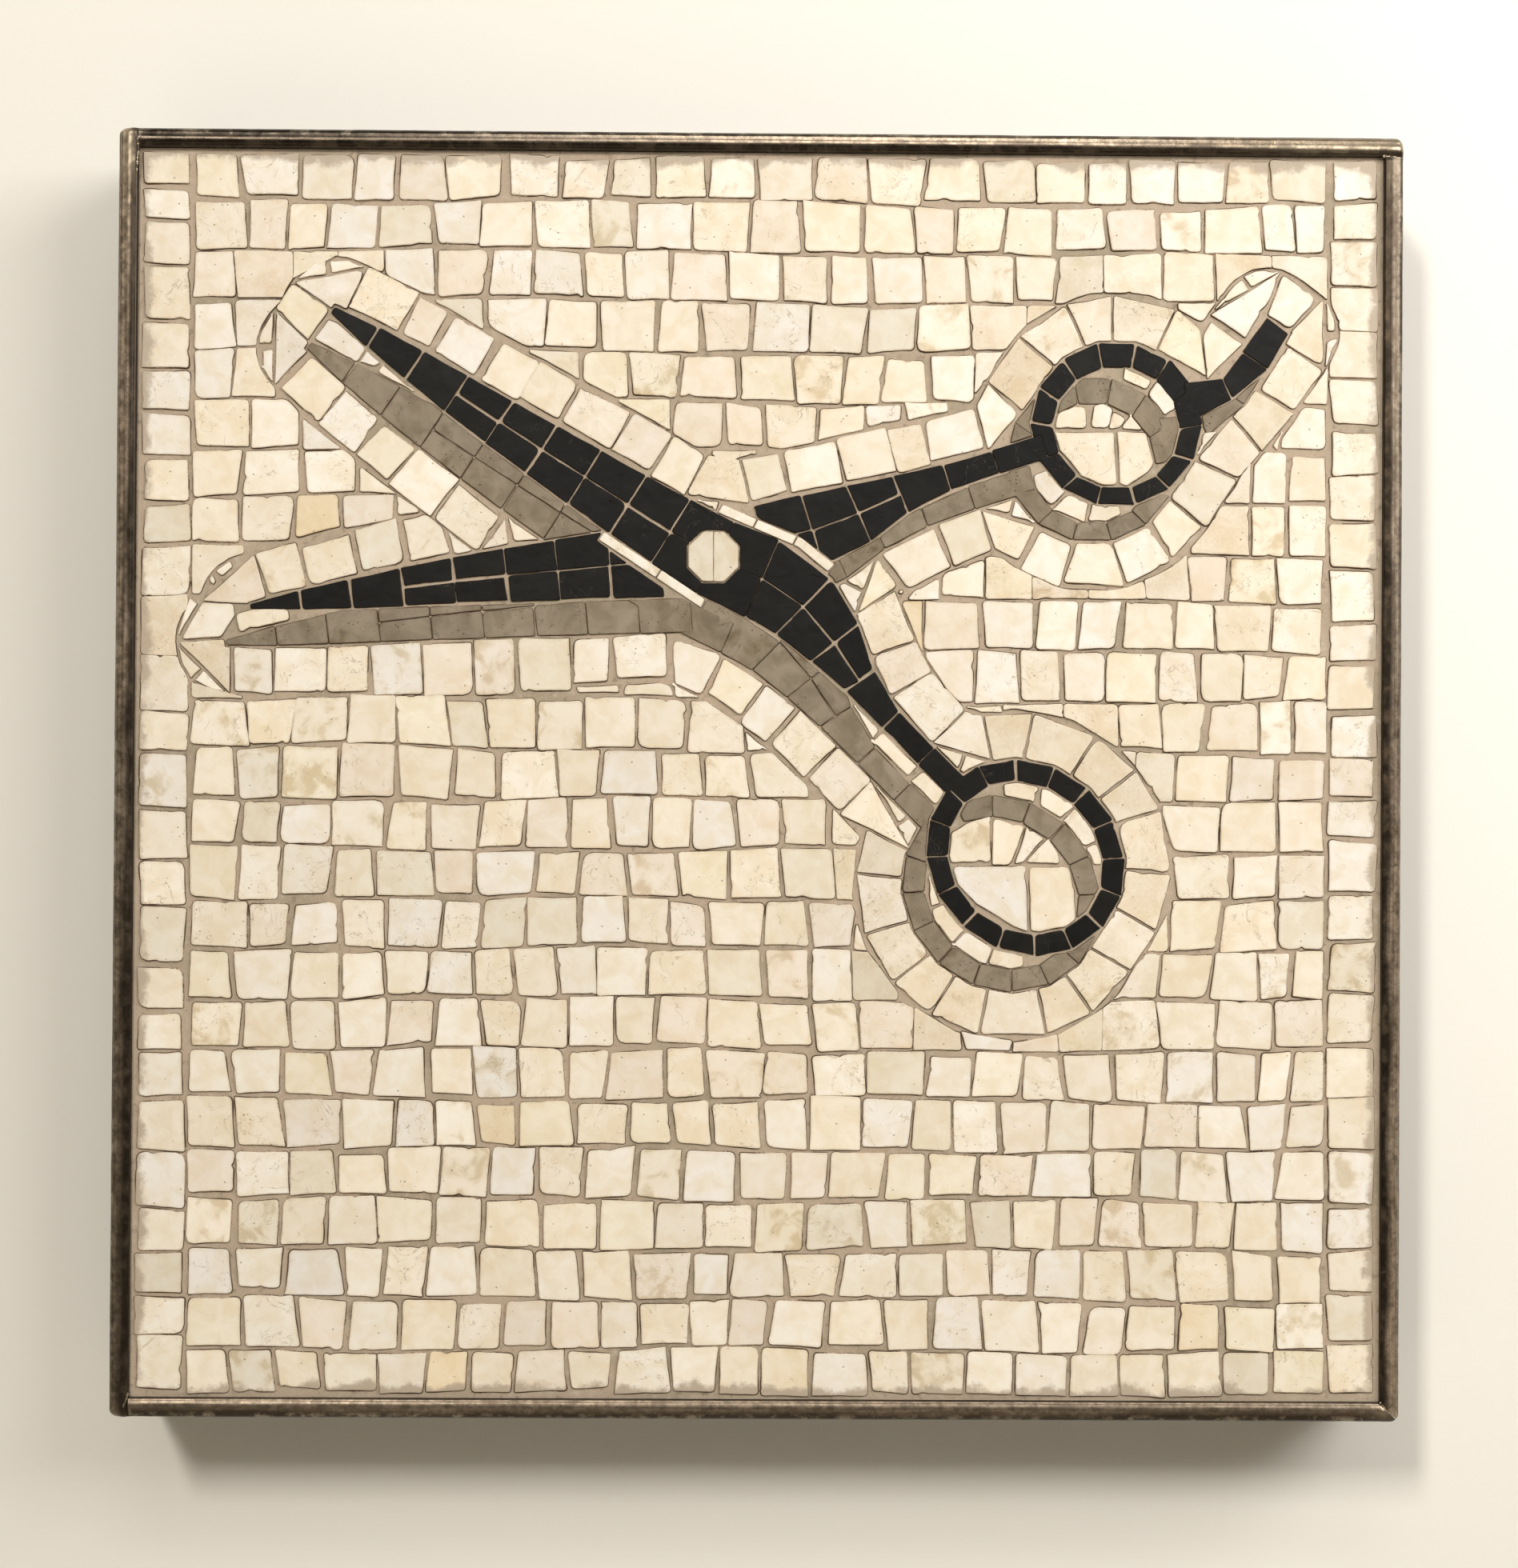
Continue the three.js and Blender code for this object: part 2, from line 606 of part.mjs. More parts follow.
function rounded(points) {
  return points.flatMap((p) => {
    const toward = new THREE.Vector2(Math.sign(p.x), Math.sign(p.y));
    const centre = p.clone().addScaledVector(toward, -CORNER_R);
    const start = Math.atan2(toward.y, toward.x) - Math.PI / 4;
    return Array.from({ length: 5 }, (_, k) => {
      const angle = start + (Math.PI / 8) * k;
      return new THREE.Vector2(Math.cos(angle), Math.sin(angle)).multiplyScalar(CORNER_R).add(centre);
    });
  });
}
const whole = prism(rounded(box(-OUTER, -OUTER, OUTER, OUTER)), 0, -BAR_DEPTH);

// The left bar runs past both its neighbours, the top bar runs over the right bar, and the lower
// right corner is mitred
const leftRegion = box(-OUTER, -OUTER, -HALF, OUTER);
const topRegion = box(-HALF + WELD_GAP, HALF, OUTER, OUTER);
const rightRegion = [
  new THREE.Vector2(HALF, -HALF + WELD_GAP),
  new THREE.Vector2(OUTER, -OUTER + WELD_GAP),
  new THREE.Vector2(OUTER, HALF - WELD_GAP),
  new THREE.Vector2(HALF, HALF - WELD_GAP),
];
const bottomRegion = [
  new THREE.Vector2(-HALF + WELD_GAP, -OUTER),
  new THREE.Vector2(OUTER, -OUTER),
  new THREE.Vector2(HALF, -HALF),
  new THREE.Vector2(-HALF + WELD_GAP, -HALF),
];

place("frame_bar_top", bar(-90, topRegion), 0x57503f, 0.42, 0.9);
place("frame_bar_bottom", bar(90, bottomRegion), 0x4a4238, 0.48, 0.9);
place("frame_bar_left", bar(180, leftRegion), 0x454038, 0.48, 0.9);
place("frame_bar_right", bar(0, rightRegion), 0x544c42, 0.45, 0.9);

const boardHalf = HALF - BOARD_CLEAR;
const boardOutline = box(-boardHalf, -boardHalf, boardHalf, boardHalf);
place("backing_board", prism(boardOutline, BOARD_FRONT + BOARD_DEPTH, BOARD_FRONT), 0x8c6f4e, 0.85);
place("mortar_bed", prism(box(-HALF, -HALF, HALF, HALF), BOARD_FRONT, BED_FRONT), 0xa39789, 0.95);
place("ground_tesserae", groundBody, 0xece2cf, 0.55);
place("shadow_tesserae", shadowBody, 0x8f8170, 0.6);
place("over_half_tesserae", overBody, 0x221f1b, 0.45);
place("under_blade_tesserae", underBladeBody, 0x24211c, 0.45);
place("under_handle_tesserae", underHandleBody, 0x24211c, 0.45);
place("pivot_tesserae", pivotBody, 0xd9cfba, 0.5);
for (const item of slips) {
  place(item.name, prism(slip(item, 0), FACE + PICTURE_DEPTH, FACE), 0xf0ebe0, 0.5);
}

export default group;
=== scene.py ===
"""Mosaic panel: hand-cut marble tesserae in a welded steel frame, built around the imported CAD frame."""

import math
import random

import bmesh
import bpy
import numpy as np
from mathutils import Matrix, Vector, noise


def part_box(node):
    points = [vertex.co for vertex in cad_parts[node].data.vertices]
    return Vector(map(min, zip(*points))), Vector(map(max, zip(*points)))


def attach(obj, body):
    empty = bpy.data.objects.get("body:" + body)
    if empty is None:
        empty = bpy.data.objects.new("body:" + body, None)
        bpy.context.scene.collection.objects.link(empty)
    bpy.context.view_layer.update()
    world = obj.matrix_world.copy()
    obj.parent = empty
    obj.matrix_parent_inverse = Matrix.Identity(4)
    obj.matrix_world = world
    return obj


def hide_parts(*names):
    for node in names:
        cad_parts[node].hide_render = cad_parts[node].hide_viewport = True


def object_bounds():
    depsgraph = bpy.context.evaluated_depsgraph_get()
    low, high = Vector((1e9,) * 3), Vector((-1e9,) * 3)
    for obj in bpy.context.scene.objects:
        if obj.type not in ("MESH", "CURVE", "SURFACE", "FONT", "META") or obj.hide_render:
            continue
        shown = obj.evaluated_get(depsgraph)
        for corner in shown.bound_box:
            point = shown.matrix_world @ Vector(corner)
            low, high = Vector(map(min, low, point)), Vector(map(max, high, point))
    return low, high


bl_info = {
    "name": "Mosaic Panel",
    "version": (1, 0, 0),
    "blender": (4, 5, 0),
    "location": "View3D > Sidebar > Mosaic",
    "description": "Builds the stones, grout, steel frame and stage of a framed mosaic panel",
    "category": "Add Mesh",
}

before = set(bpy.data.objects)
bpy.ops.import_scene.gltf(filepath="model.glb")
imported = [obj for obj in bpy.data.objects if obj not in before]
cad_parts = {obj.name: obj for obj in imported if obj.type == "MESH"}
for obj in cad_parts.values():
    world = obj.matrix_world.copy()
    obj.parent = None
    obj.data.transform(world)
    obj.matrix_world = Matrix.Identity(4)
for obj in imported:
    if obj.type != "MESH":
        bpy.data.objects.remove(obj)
CAD_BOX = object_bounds()

MM = 0.001
FACE = -0.0288  # front of the stones' faces
PICTURE_FACE = FACE + 0.00004
FACE_LIMIT = -0.0285  # a face of the frame further forward than this is a stone's
GROUT_FRONT = -0.02838
FIELD_CENTRE = -0.127
HALF_FIELD = 0.125
GRID = 0.00025  # pitch of the grid on which open gaps are found
JOINT = 0.00042  # usual width between a stone's edge and its neighbour's
LEAST_STONE = 4e-6  # smallest face of the frame that counts as a stone, in square metres
LEAST_WIDTH = 0.0021  # narrower ground stones are left out, and the gap is filled anew
LEAST_FILLER = 0.0017  # narrowest stone that fills a gap
FEWEST_STONES = 300
EDGE_KEYS = 5e4
GROWN = -0.00026  # a ground stone grows this far into its joint
MOST_GROWTH = 0.0030  # furthest that an edge is moved out into a gap
PROBE = 0.0002  # step of the search for the next stone
BAR_WIDTH = 0.004
BAR_DEPTH = 0.030
BAR_GAP = 0.00008  # hairline between two bars
BACK_ARRIS = 0.0004  # bevel of a bar's rear arrises
WELD_FRONT = -0.02978
STONE_NODES = {
    "shadow_stones": ("shadow_tesserae", "taupe_stone"),
    "over_half_stones": ("over_half_tesserae", "black_stone"),
    "under_blade_stones": ("under_blade_tesserae", "black_stone"),
    "under_handle_stones": ("under_handle_tesserae", "black_stone"),
    "pivot_stones": ("pivot_tesserae", "pivot_stone"),
    "highlight_stone_lower": ("highlight_slip_lower", "white_stone"),
    "highlight_stone_upper": ("highlight_slip_upper", "white_stone"),
}


def linear(r, g, b):
    """A screen colour as the linear colour that shaders take."""
    return tuple(c / 12.92 if c <= 0.04045 else ((c + 0.055) / 1.055) ** 2.4 for c in (r, g, b)) + (1.0,)


def colour(name, description, r, g, b):
    return bpy.props.FloatVectorProperty(
        name=name, description=description, subtype="COLOR", size=4, min=0.0, max=1.0, default=linear(r, g, b)
    )


def length(name, description, default, top=0.05):
    return bpy.props.FloatProperty(
        name=name, description=description, default=default, min=0.0, max=top, unit="LENGTH", precision=5
    )


def power(name, description, default):
    return bpy.props.FloatProperty(name=name, description=description, default=default, unit="POWER")


class MosaicStones(bpy.types.PropertyGroup):
    """Sizes of the hand-cut stones."""

    seed: bpy.props.IntProperty(name="Seed", description="Number that fixes every random choice", default=11)
    step: length("Outline step", "Distance between points along a stone's edge", 0.00072)
    corner_in: length("Corner wander", "Furthest that a corner is cut back into its stone", 0.00080)
    edge_in: length("Edge wander", "Furthest that a whole edge is cut back", 0.00050)
    round_least: length("Least corner radius", "Radius of a crisp corner", 0.00018)
    round_most: length("Most corner radius", "Radius of a worn corner", 0.00105)
    chip: length("Chip depth", "Depth of a chip in an edge", 0.00045)
    bevel: length("Arris", "Width of the worn arris round each face", 0.00016)
    skirt: length("Grime skirt", "Width of the dark mortar line along an edge", 0.00024)
    relief: length("Face relief", "Unevenness of a split face", 0.00007)
    tilt: length("Tilt", "Rise from one side of a stone to the other", 0.00016)
    sunk: length("Sunk depth", "How far a stone goes down into the grout", 0.00100)


class MosaicColours(bpy.types.PropertyGroup):
    """Colours of the stones and the grout."""

    cream: colour("Cream", "Most of the ground stones", 0.94, 0.895, 0.815)
    pale: colour("Pale", "Nearly white ground stones", 0.96, 0.93, 0.875)
    lilac: colour("Lilac white", "Cool ground stones", 0.935, 0.91, 0.87)
    pink: colour("Pink beige", "Pinkish ground stones", 0.925, 0.875, 0.81)
    yellow: colour("Yellow cream", "Yellowish ground stones", 0.935, 0.895, 0.805)
    grey: colour("Grey beige", "Greyish ground stones", 0.895, 0.86, 0.785)
    orange: colour("Orange beige", "A few warm ground stones", 0.925, 0.855, 0.73)
    black: colour("Black", "Black marble", 0.095, 0.088, 0.078)
    taupe: colour("Taupe", "Cast shadow stones", 0.58, 0.53, 0.455)
    white: colour("White", "Highlight slips", 0.95, 0.925, 0.87)
    grout: colour("Grout", "Joint grout", 0.715, 0.64, 0.55)
    grime: colour("Grime", "Dark line along the stones", 0.34, 0.27, 0.19)


class MosaicSteel(bpy.types.PropertyGroup):
    """The welded frame."""

    arris: length("Outer arris radius", "Radius of the bars' outer front arrises", 0.00150)
    inner: length("Inner arris radius", "Radius of the bars' inner front arrises", 0.00045)
    corner: length("Corner radius", "Radius of the frame's outer corners", 0.0016)
    crown: length("Crown", "Height of the crowned front face", 0.00028)
    wear: length("Wear", "Unevenness of the bars' surface", 0.00007)
    # body is the steel on each bar's painted lit half; dark, labelled patina, is both the painted shade on the other
    # half and the colour of the drawn lines.
    body: colour("Steel", "Patinated steel", 0.46, 0.41, 0.35)
    dark: colour("Patina", "Dark patina", 0.25, 0.215, 0.175)
    scale: colour("Mill scale", "Dark scale on the bars' sides", 0.15, 0.13, 0.11)
    heat: colour("Heat tint", "Paler steel beside the welds", 0.80, 0.73, 0.62)
    bare: colour("Bare steel", "Rubbed arrises", 0.80, 0.75, 0.66)


class MosaicStage(bpy.types.PropertyGroup):
    """The wall, the floor and the lights."""

    wall: colour("Wall", "Painted wall", 0.955, 0.94, 0.905)
    key: power("Key light", "Power of the main light", 45.0)
    top: power("Top light", "Power of the light above", 1.15)
    side: power("Side light", "Power of the light at the right", 3.7)
    lamp: power("Lamp", "Power of the small lamp at the right", 0.22)
    strip: power("Strip", "Power of the strip that only shines on the steel", 5.2)
    back: power("Back light", "Power of the light behind the wall", 9.0)
    room: bpy.props.FloatProperty(name="Room light", description="Strength of the light from all round", default=0.12)


# Node helpers


class Graph:
    """Short calls that add and join nodes in one tree."""

    def __init__(self, tree):
        self.tree = tree
        self.step = 0

    def node(self, kind, out=0, values=None, **settings):
        """Adds a node, sets its settings and its inputs, and gives the output asked for."""
        made = self.tree.nodes.new(kind)
        made.location = (self.step * 60, -(self.step % 7) * 160)
        self.step += 1
        for name, value in settings.items():
            setattr(made, name, value)
        for name, value in (values or {}).items():
            self.give(made.inputs[name], value)
        return made.outputs[out] if out is not None else made

    def give(self, socket, value):
        if isinstance(value, bpy.types.NodeSocket):
            self.tree.links.new(value, socket)
        else:
            socket.default_value = value

    def math(self, operation, a, b=0.0, clamp=False):
        return self.node("ShaderNodeMath", operation=operation, use_clamp=clamp, values={0: a, 1: b})

    def plus(self, a, b, clamp=False):
        return self.math("ADD", a, b, clamp)

    def minus(self, a, b, clamp=False):
        return self.math("SUBTRACT", a, b, clamp)

    def times(self, a, b, clamp=False):
        return self.math("MULTIPLY", a, b, clamp)

    def vmath(self, operation, a, b):
        return self.node("ShaderNodeVectorMath", operation=operation, values={0: a, 1: b})

    def scaled(self, vector, scale):
        return self.node("ShaderNodeVectorMath", operation="SCALE", values={0: vector, "Scale": scale})

    def split(self, vector):
        """The three parts of a vector."""
        return self.node("ShaderNodeSeparateXYZ", out=None, values={0: vector}).outputs

    def joined(self, x=0.0, y=0.0, z=0.0):
        """Three numbers as a vector."""
        return self.node("ShaderNodeCombineXYZ", values={0: x, 1: y, 2: z})

    def ramp(self, value, low, high, start=0.0, end=1.0):
        """A smooth rise from start to end as value goes from low to high."""
        return self.node(
            "ShaderNodeMapRange",
            interpolation_type="SMOOTHSTEP",
            values={"Value": value, "From Min": low, "From Max": high, "To Min": start, "To Max": end},
        )

    def mix(self, share, a, b, blend="MIX"):
        """a turned into b by share, as colours."""
        return self.node("ShaderNodeMix", out=2, data_type="RGBA", blend_type=blend, values={0: share, 6: a, 7: b})

    def layered(self, body, layers):
        """Lays each colour over the body by its mask's rise from start to end between low and high."""
        for tint, mask, low, high, start, end in layers:
            body = self.mix(self.ramp(mask, low, high, start, end), body, tint)
        return body

    def tinted(self, colour, tint):
        """A colour multiplied by a tint."""
        return self.mix(1.0, colour, tint, "MULTIPLY")

    def bump(self, strength, distance, height):
        return self.node("ShaderNodeBump", values={"Strength": strength, "Distance": distance, "Height": height})

    def noise(self, vector, scale, detail=3.0, rough=0.5, distortion=0.0, out=0):
        values = {"Vector": vector, "Scale": scale, "Detail": detail, "Roughness": rough, "Distortion": distortion}
        return self.node("ShaderNodeTexNoise", out=out, values=values)

    def attribute(self, name, out):
        return self.node("ShaderNodeAttribute", out=out, attribute_name=name)


def new_object(name, mesh):
    made = bpy.data.objects.new(name, mesh)
    bpy.context.scene.collection.objects.link(made)
    return made


def give_values(mesh, name, kind, values):
    """Writes one value for each point of the mesh."""
    key = {"FLOAT": "value", "FLOAT_VECTOR": "vector", "FLOAT_COLOR": "color"}[kind]
    mesh.attributes.new(name, kind, "POINT").data.foreach_set(key, np.array(values, np.float32).ravel())


def group_of(name, kind, inputs, outputs):
    """A new node group of that kind: its graph, what it is given and what it results in.

    An input's value is its default, or the name of its kind where it has none."""
    tree = bpy.data.node_groups.new(name, kind)
    for label, value in inputs.items():
        bare = isinstance(value, str)
        socket_kind = value if bare else {float: "Float", int: "Int"}[type(value)]
        socket = tree.interface.new_socket(label, in_out="INPUT", socket_type="NodeSocket" + socket_kind)
        if not bare:
            socket.default_value = value
    for label, socket_kind in outputs:
        tree.interface.new_socket(label, in_out="OUTPUT", socket_type="NodeSocket" + socket_kind)
    g = Graph(tree)
    given = g.node("NodeGroupInput", out=None).outputs
    result = g.node("NodeGroupOutput", out=None).inputs
    return g, given, result


def built_once(name):
    """The node group of that name is built only where the file hasn't got it yet."""
    return lambda build: lambda: bpy.data.node_groups.get(name) or build(name)


@built_once("Stone figure")
def stone_figure_group(name):
    """Mottling, veins, pits and grain of cut stone, and a height for them."""
    inputs = {"Vector": "Vector", "Dice": "Vector", "Cloud size": 0.22, "Vein width": 0.012}
    inputs |= {"Vein share": 0.35, "Pit share": 0.16, "Grain": 3.2}
    outputs = [(label, "Float") for label in ("Clouds", "Veins", "Pits", "Stain", "Grain", "Height")]
    g, given, result = group_of(name, "ShaderNodeTree", inputs, outputs)
    dice = g.split(given["Dice"])
    turned = g.node(
        "ShaderNodeVectorRotate",
        rotation_type="AXIS_ANGLE",
        values={
            "Vector": g.scaled(given["Vector"], 1000.0),
            "Axis": (0.0, 1.0, 0.0),
            "Angle": g.times(dice[0], 6.283),
        },
    )
    place = g.vmath("ADD", turned, g.scaled(given["Dice"], 173.0))
    clouds = g.noise(place, given["Cloud size"], 5.0, 0.55, 0.6)
    g.give(result["Clouds"], clouds)
    band = g.noise(place, 0.16, 4.0, 0.62, 0.9)
    line = g.math("ABSOLUTE", g.minus(band, 0.5))
    thread = g.math("DIVIDE", line, given["Vein width"])
    vein = g.ramp(thread, 0.15, 1.0, 1.0, 0.0)
    present = g.math("LESS_THAN", dice[1], given["Vein share"])
    broken = g.ramp(g.noise(place, 0.35, 2.0), 0.4, 0.6)
    vein = g.times(g.times(vein, present), broken)
    g.give(result["Veins"], vein)
    cell = g.node("ShaderNodeTexVoronoi", out=None, values={"Vector": place, "Scale": 1.35, "Randomness": 1.0})
    pick = g.node("ShaderNodeSeparateColor", out=0, values={0: cell.outputs["Color"]})
    pitted = g.times(g.ramp(g.noise(place, 0.3, 2.0), 0.5, 0.66), given["Pit share"])
    chosen = g.math("LESS_THAN", pick, g.plus(pitted, 0.004))
    pit = g.times(g.ramp(cell.outputs["Distance"], 0.08, 0.34, 1.0, 0.0), chosen)
    g.give(result["Pits"], pit)
    blot = g.ramp(g.noise(place, 0.22, 4.0, 0.6, 0.4), 0.50, 0.66)
    g.give(result["Stain"], g.times(blot, g.math("GREATER_THAN", dice[2], 0.88)))
    grain = g.noise(place, given["Grain"], 4.0, 0.7)
    g.give(result["Grain"], grain)
    high = g.plus(g.times(grain, 0.35), g.times(clouds, 0.55))
    high = g.minus(high, g.times(pit, 1.3))
    high = g.minus(high, g.times(vein, 0.25))
    g.give(result["Height"], high)
    return g.tree


@built_once("Edge grime")
def grime_group(name):
    """Dirt that gathers along a stone's edge and turns into the dark mortar line beside it."""
    inputs = {"Vector": "Vector", "Rim": 0.0, "Skirt": 0.0, "Amount": 1.0}
    outputs = [(label, "Float") for label in ("Edge", "Line", "Haze")]
    g, given, result = group_of(name, "ShaderNodeTree", inputs, outputs)
    place = g.scaled(given["Vector"], 1000.0)
    ragged = g.noise(place, 1.6, 4.0, 0.65)
    speckle = g.noise(place, 4.6, 2.0, 0.6)
    patch = g.ramp(g.noise(place, 0.11, 3.0, 0.55), 0.38, 0.60)
    reach = g.plus(given["Rim"], g.times(g.minus(ragged, 0.5), 0.55))
    edge = g.times(g.ramp(reach, 0.72, 1.15), given["Amount"], clamp=True)
    g.give(result["Edge"], g.times(edge, g.plus(g.times(patch, 0.6), 0.4)))
    dark = g.plus(g.times(ragged, 0.5), g.times(patch, 0.35))
    dark = g.ramp(g.plus(dark, g.times(speckle, 0.75)), 0.60, 0.82)
    g.give(result["Line"], g.times(given["Skirt"], dark, clamp=True))
    spot = g.split(place)
    across = g.math("ABSOLUTE", spot[0])
    upward = g.math("ABSOLUTE", g.minus(spot[2], FIELD_CENTRE / MM))
    inset = g.minus(HALF_FIELD / MM, g.math("MAXIMUM", across, upward))
    wide = g.noise(place, 0.16, 3.0, 0.6)
    reach = g.plus(inset, g.times(g.minus(ragged, 0.5), 1.6))
    reach = g.minus(reach, g.times(g.minus(wide, 0.42), 7.0))
    g.give(result["Haze"], g.ramp(reach, 0.9, 2.6, 0.92, 0.0))
    return g.tree


def placed_group(g, tree, values):
    """Places a node group in a material and gives its outputs."""
    made = g.node("ShaderNodeGroup", out=None, node_tree=tree)
    for name, value in values.items():
        g.give(made.inputs[name], value)
    return made.outputs


def new_material(name):
    """An empty material with its graph, its Principled BSDF and Object coordinates."""
    made = bpy.data.materials.new(name)
    made.use_nodes = True
    made.node_tree.nodes.clear()
    g = Graph(made.node_tree)
    shader = g.node("ShaderNodeBsdfPrincipled", out=None)
    output = g.node("ShaderNodeOutputMaterial", out=None)
    g.give(output.inputs["Surface"], shader.outputs[0])
    return made, g, shader.inputs, g.node("ShaderNodeTexCoord", out=3)


def stone_material(
    name, veins, pits, cloud_tint, vein_tint, gloss, skirt_colour, grain=3.2, amount=1.0, vein_share=0.35, shine=0.35
):
    """Cut stone. Its colour comes from the stone's own tone, and its figure from the stone's own dice."""
    colours = bpy.context.scene.mosaic_colours
    made, g, shader, here = new_material(name)
    tone, dice = g.attribute("tone", 0), g.attribute("dice", 1)
    skirt = g.attribute("skirt", 2)
    values = {"Vector": here, "Dice": dice, "Vein width": veins, "Vein share": vein_share, "Pit share": pits}
    figure = placed_group(g, stone_figure_group(), values | {"Grain": grain})
    values = {"Vector": here, "Rim": g.attribute("rim", 2), "Skirt": skirt, "Amount": amount}
    grime = placed_group(g, grime_group(), values)
    body = g.mix(g.ramp(figure["Clouds"], 0.32, 0.72), tone, g.tinted(tone, cloud_tint))
    body = g.mix(g.ramp(figure["Grain"], 0.56, 0.74, 0.0, 0.22), body, g.tinted(body, cloud_tint))
    stain = g.tinted(body, linear(0.86, 0.82, 0.74))
    body = g.mix(g.times(figure["Stain"], 0.6), body, stain)
    body = g.mix(g.times(figure["Veins"], 0.75), body, vein_tint)
    body = g.mix(g.times(figure["Pits"], 0.8), body, g.tinted(body, linear(0.62, 0.54, 0.42)))
    edge = g.tinted(body, linear(0.84, 0.78, 0.69))
    body = g.mix(g.times(grime["Edge"], 0.45), body, edge)
    body = g.mix(g.times(grime["Haze"], amount, clamp=True), body, linear(0.70, 0.635, 0.555))
    side = g.mix(grime["Line"], skirt_colour, tuple(colours.grime))
    body = g.mix(skirt, body, side)
    g.give(shader["Base Color"], body)
    rough = g.plus(g.times(figure["Clouds"], 0.16), gloss)
    rough = g.plus(rough, g.times(skirt, 0.3), clamp=True)
    g.give(shader["Roughness"], rough)
    shader["Specular IOR Level"].default_value = shine
    g.give(shader["Normal"], g.bump(0.55, 0.00012, figure["Height"]))
    return made


def grout_material():
    """Cement grout with sand, dirt and lighter smears."""
    colours = bpy.context.scene.mosaic_colours
    made, g, shader, here = new_material("Joint grout")
    place = g.scaled(here, 1000.0)
    broad = g.noise(place, 0.035, 4.0, 0.6)
    cloud = g.noise(place, 0.5, 4.0, 0.6)
    sand = g.noise(place, 4.5, 4.0, 0.75)
    base = tuple(colours.grout)
    olive = linear(0.615, 0.565, 0.47)
    body = g.mix(g.ramp(broad, 0.46, 0.66, 0.0, 0.8), base, olive)
    layers = (
        (linear(0.77, 0.715, 0.645), cloud, 0.52, 0.75, 0.0, 0.7),
        (linear(0.52, 0.46, 0.385), cloud, 0.28, 0.44, 0.75, 0.0),
        (linear(0.86, 0.81, 0.74), sand, 0.58, 0.72, 0.0, 0.55),
        (linear(0.40, 0.35, 0.28), sand, 0.30, 0.42, 0.65, 0.0),
    )
    body = g.layered(body, layers)
    g.give(shader["Base Color"], body)
    g.give(shader["Roughness"], g.ramp(cloud, 0.3, 0.7, 0.78, 0.92))
    height = g.plus(g.times(sand, 0.6), cloud)
    g.give(shader["Normal"], g.bump(0.6, 0.00018, height))
    return made


def steel_material(name, total, light, brown, ends, reach, rough=(0.24, 0.40), inner=False):
    """Patinated flat bar: a painted lit half towards its outer arris and a painted shaded half towards its inner one,
    dark scale on its sides, brown mottling and rubbed arrises.

    total is the bar's length, light its painted brightness at its two ends, which stands in for the lamps' light
    falling off along the bar, and brown the strength of the mottling. ends gives how much paler it is beside each weld,
    within reach millimetres of it, and rough the least and the most roughness. inner puts the painted lit half at the
    inner arris."""
    steel = bpy.context.scene.mosaic_steel
    made, g, shader, here = new_material(name)
    place = g.scaled(here, 1000.0)
    worn = g.attribute("worn", 2)
    drawn = g.attribute("drawn", 1)
    at = g.split(drawn)
    broad = g.noise(place, 0.045, 4.0, 0.6, 0.4)
    mid = g.noise(place, 0.30, 5.0, 0.62, 0.3)
    fine = g.noise(place, 2.0, 4.0, 0.7)
    lines = g.noise(g.vmath("MULTIPLY", drawn, (0.05, 3.4, 3.4)), 1.0, 3.0, 0.6)
    # Painted light and shade: across the face, the half towards the lamps is painted pale and the other half dark.
    across = g.minus(4.0, at[1]) if inner else at[1]
    across = g.plus(across, g.times(g.minus(mid, 0.5), 1.8))
    across = g.plus(across, g.times(g.minus(broad, 0.5), 3.0))
    mottled = g.ramp(g.noise(place, 0.75, 3.0, 0.6), 0.38, 0.62, 0.72, 1.22)
    # Painted light: the bar's tone runs from light[0] at its start to light[1] at its end, lighter where the lamps
    # fall.
    tone = g.times(mottled, g.ramp(at[0], 0.0, total * 1000, *light))
    pale = g.scaled(tuple(steel.body[:3]), tone)
    body = g.mix(g.ramp(across, 1.5, 3.1), pale, tuple(steel.dark))
    layers = (
        (linear(0.40, 0.32, 0.235), mid, 0.46, 0.68, 0.0, brown),
        (tuple(steel.dark), lines, 0.35, 0.65, 0.35, 0.0),
        (linear(0.14, 0.12, 0.10), fine, 0.30, 0.44, 0.45, 0.0),
        (linear(0.60, 0.55, 0.46), fine, 0.62, 0.76, 0.0, 0.3),
    )
    body = g.layered(body, layers)
    start = g.ramp(at[0], 0.25 * reach, reach, ends[0], 0.0)
    end = g.ramp(g.minus(total * 1000, at[0]), 0.25 * reach, reach, ends[1], 0.0)
    tint = g.times(g.math("MAXIMUM", start, end), g.ramp(mid, 0.62, 0.40, 0.35, 1.0))
    tint = g.times(tint, g.ramp(across, 2.7, 3.8, 1.0, 0.1))
    body = g.mix(tint, body, tuple(steel.heat))
    body = g.mix(g.ramp(g.plus(at[2], g.times(fine, 0.3)), 0.62, 1.15), body, tuple(steel.scale))
    rub = g.times(worn, g.ramp(g.plus(mid, g.times(fine, 0.35)), 0.66, 0.84))
    rub = g.times(rub, g.ramp(at[1], 1.8, 2.6, 1.0, 0.0))
    body = g.mix(g.times(rub, 0.35), body, tuple(steel.bare))
    g.give(shader["Base Color"], body)
    g.give(shader["Metallic"], g.ramp(mid, 0.4, 0.75, 0.9, 0.55))
    roughness = g.plus(g.ramp(mid, 0.3, 0.7, *rough), g.times(lines, 0.3 * rough[0]))
    roughness = g.minus(roughness, g.times(rub, 0.1))
    g.give(shader["Roughness"], g.plus(roughness, g.ramp(at[2], 1.2, 3.0, 0.0, 0.3)))
    height = g.plus(g.times(fine, 0.5), g.plus(mid, g.times(lines, 0.3)))
    g.give(shader["Normal"], g.bump(0.3, 0.0001, height))
    return made


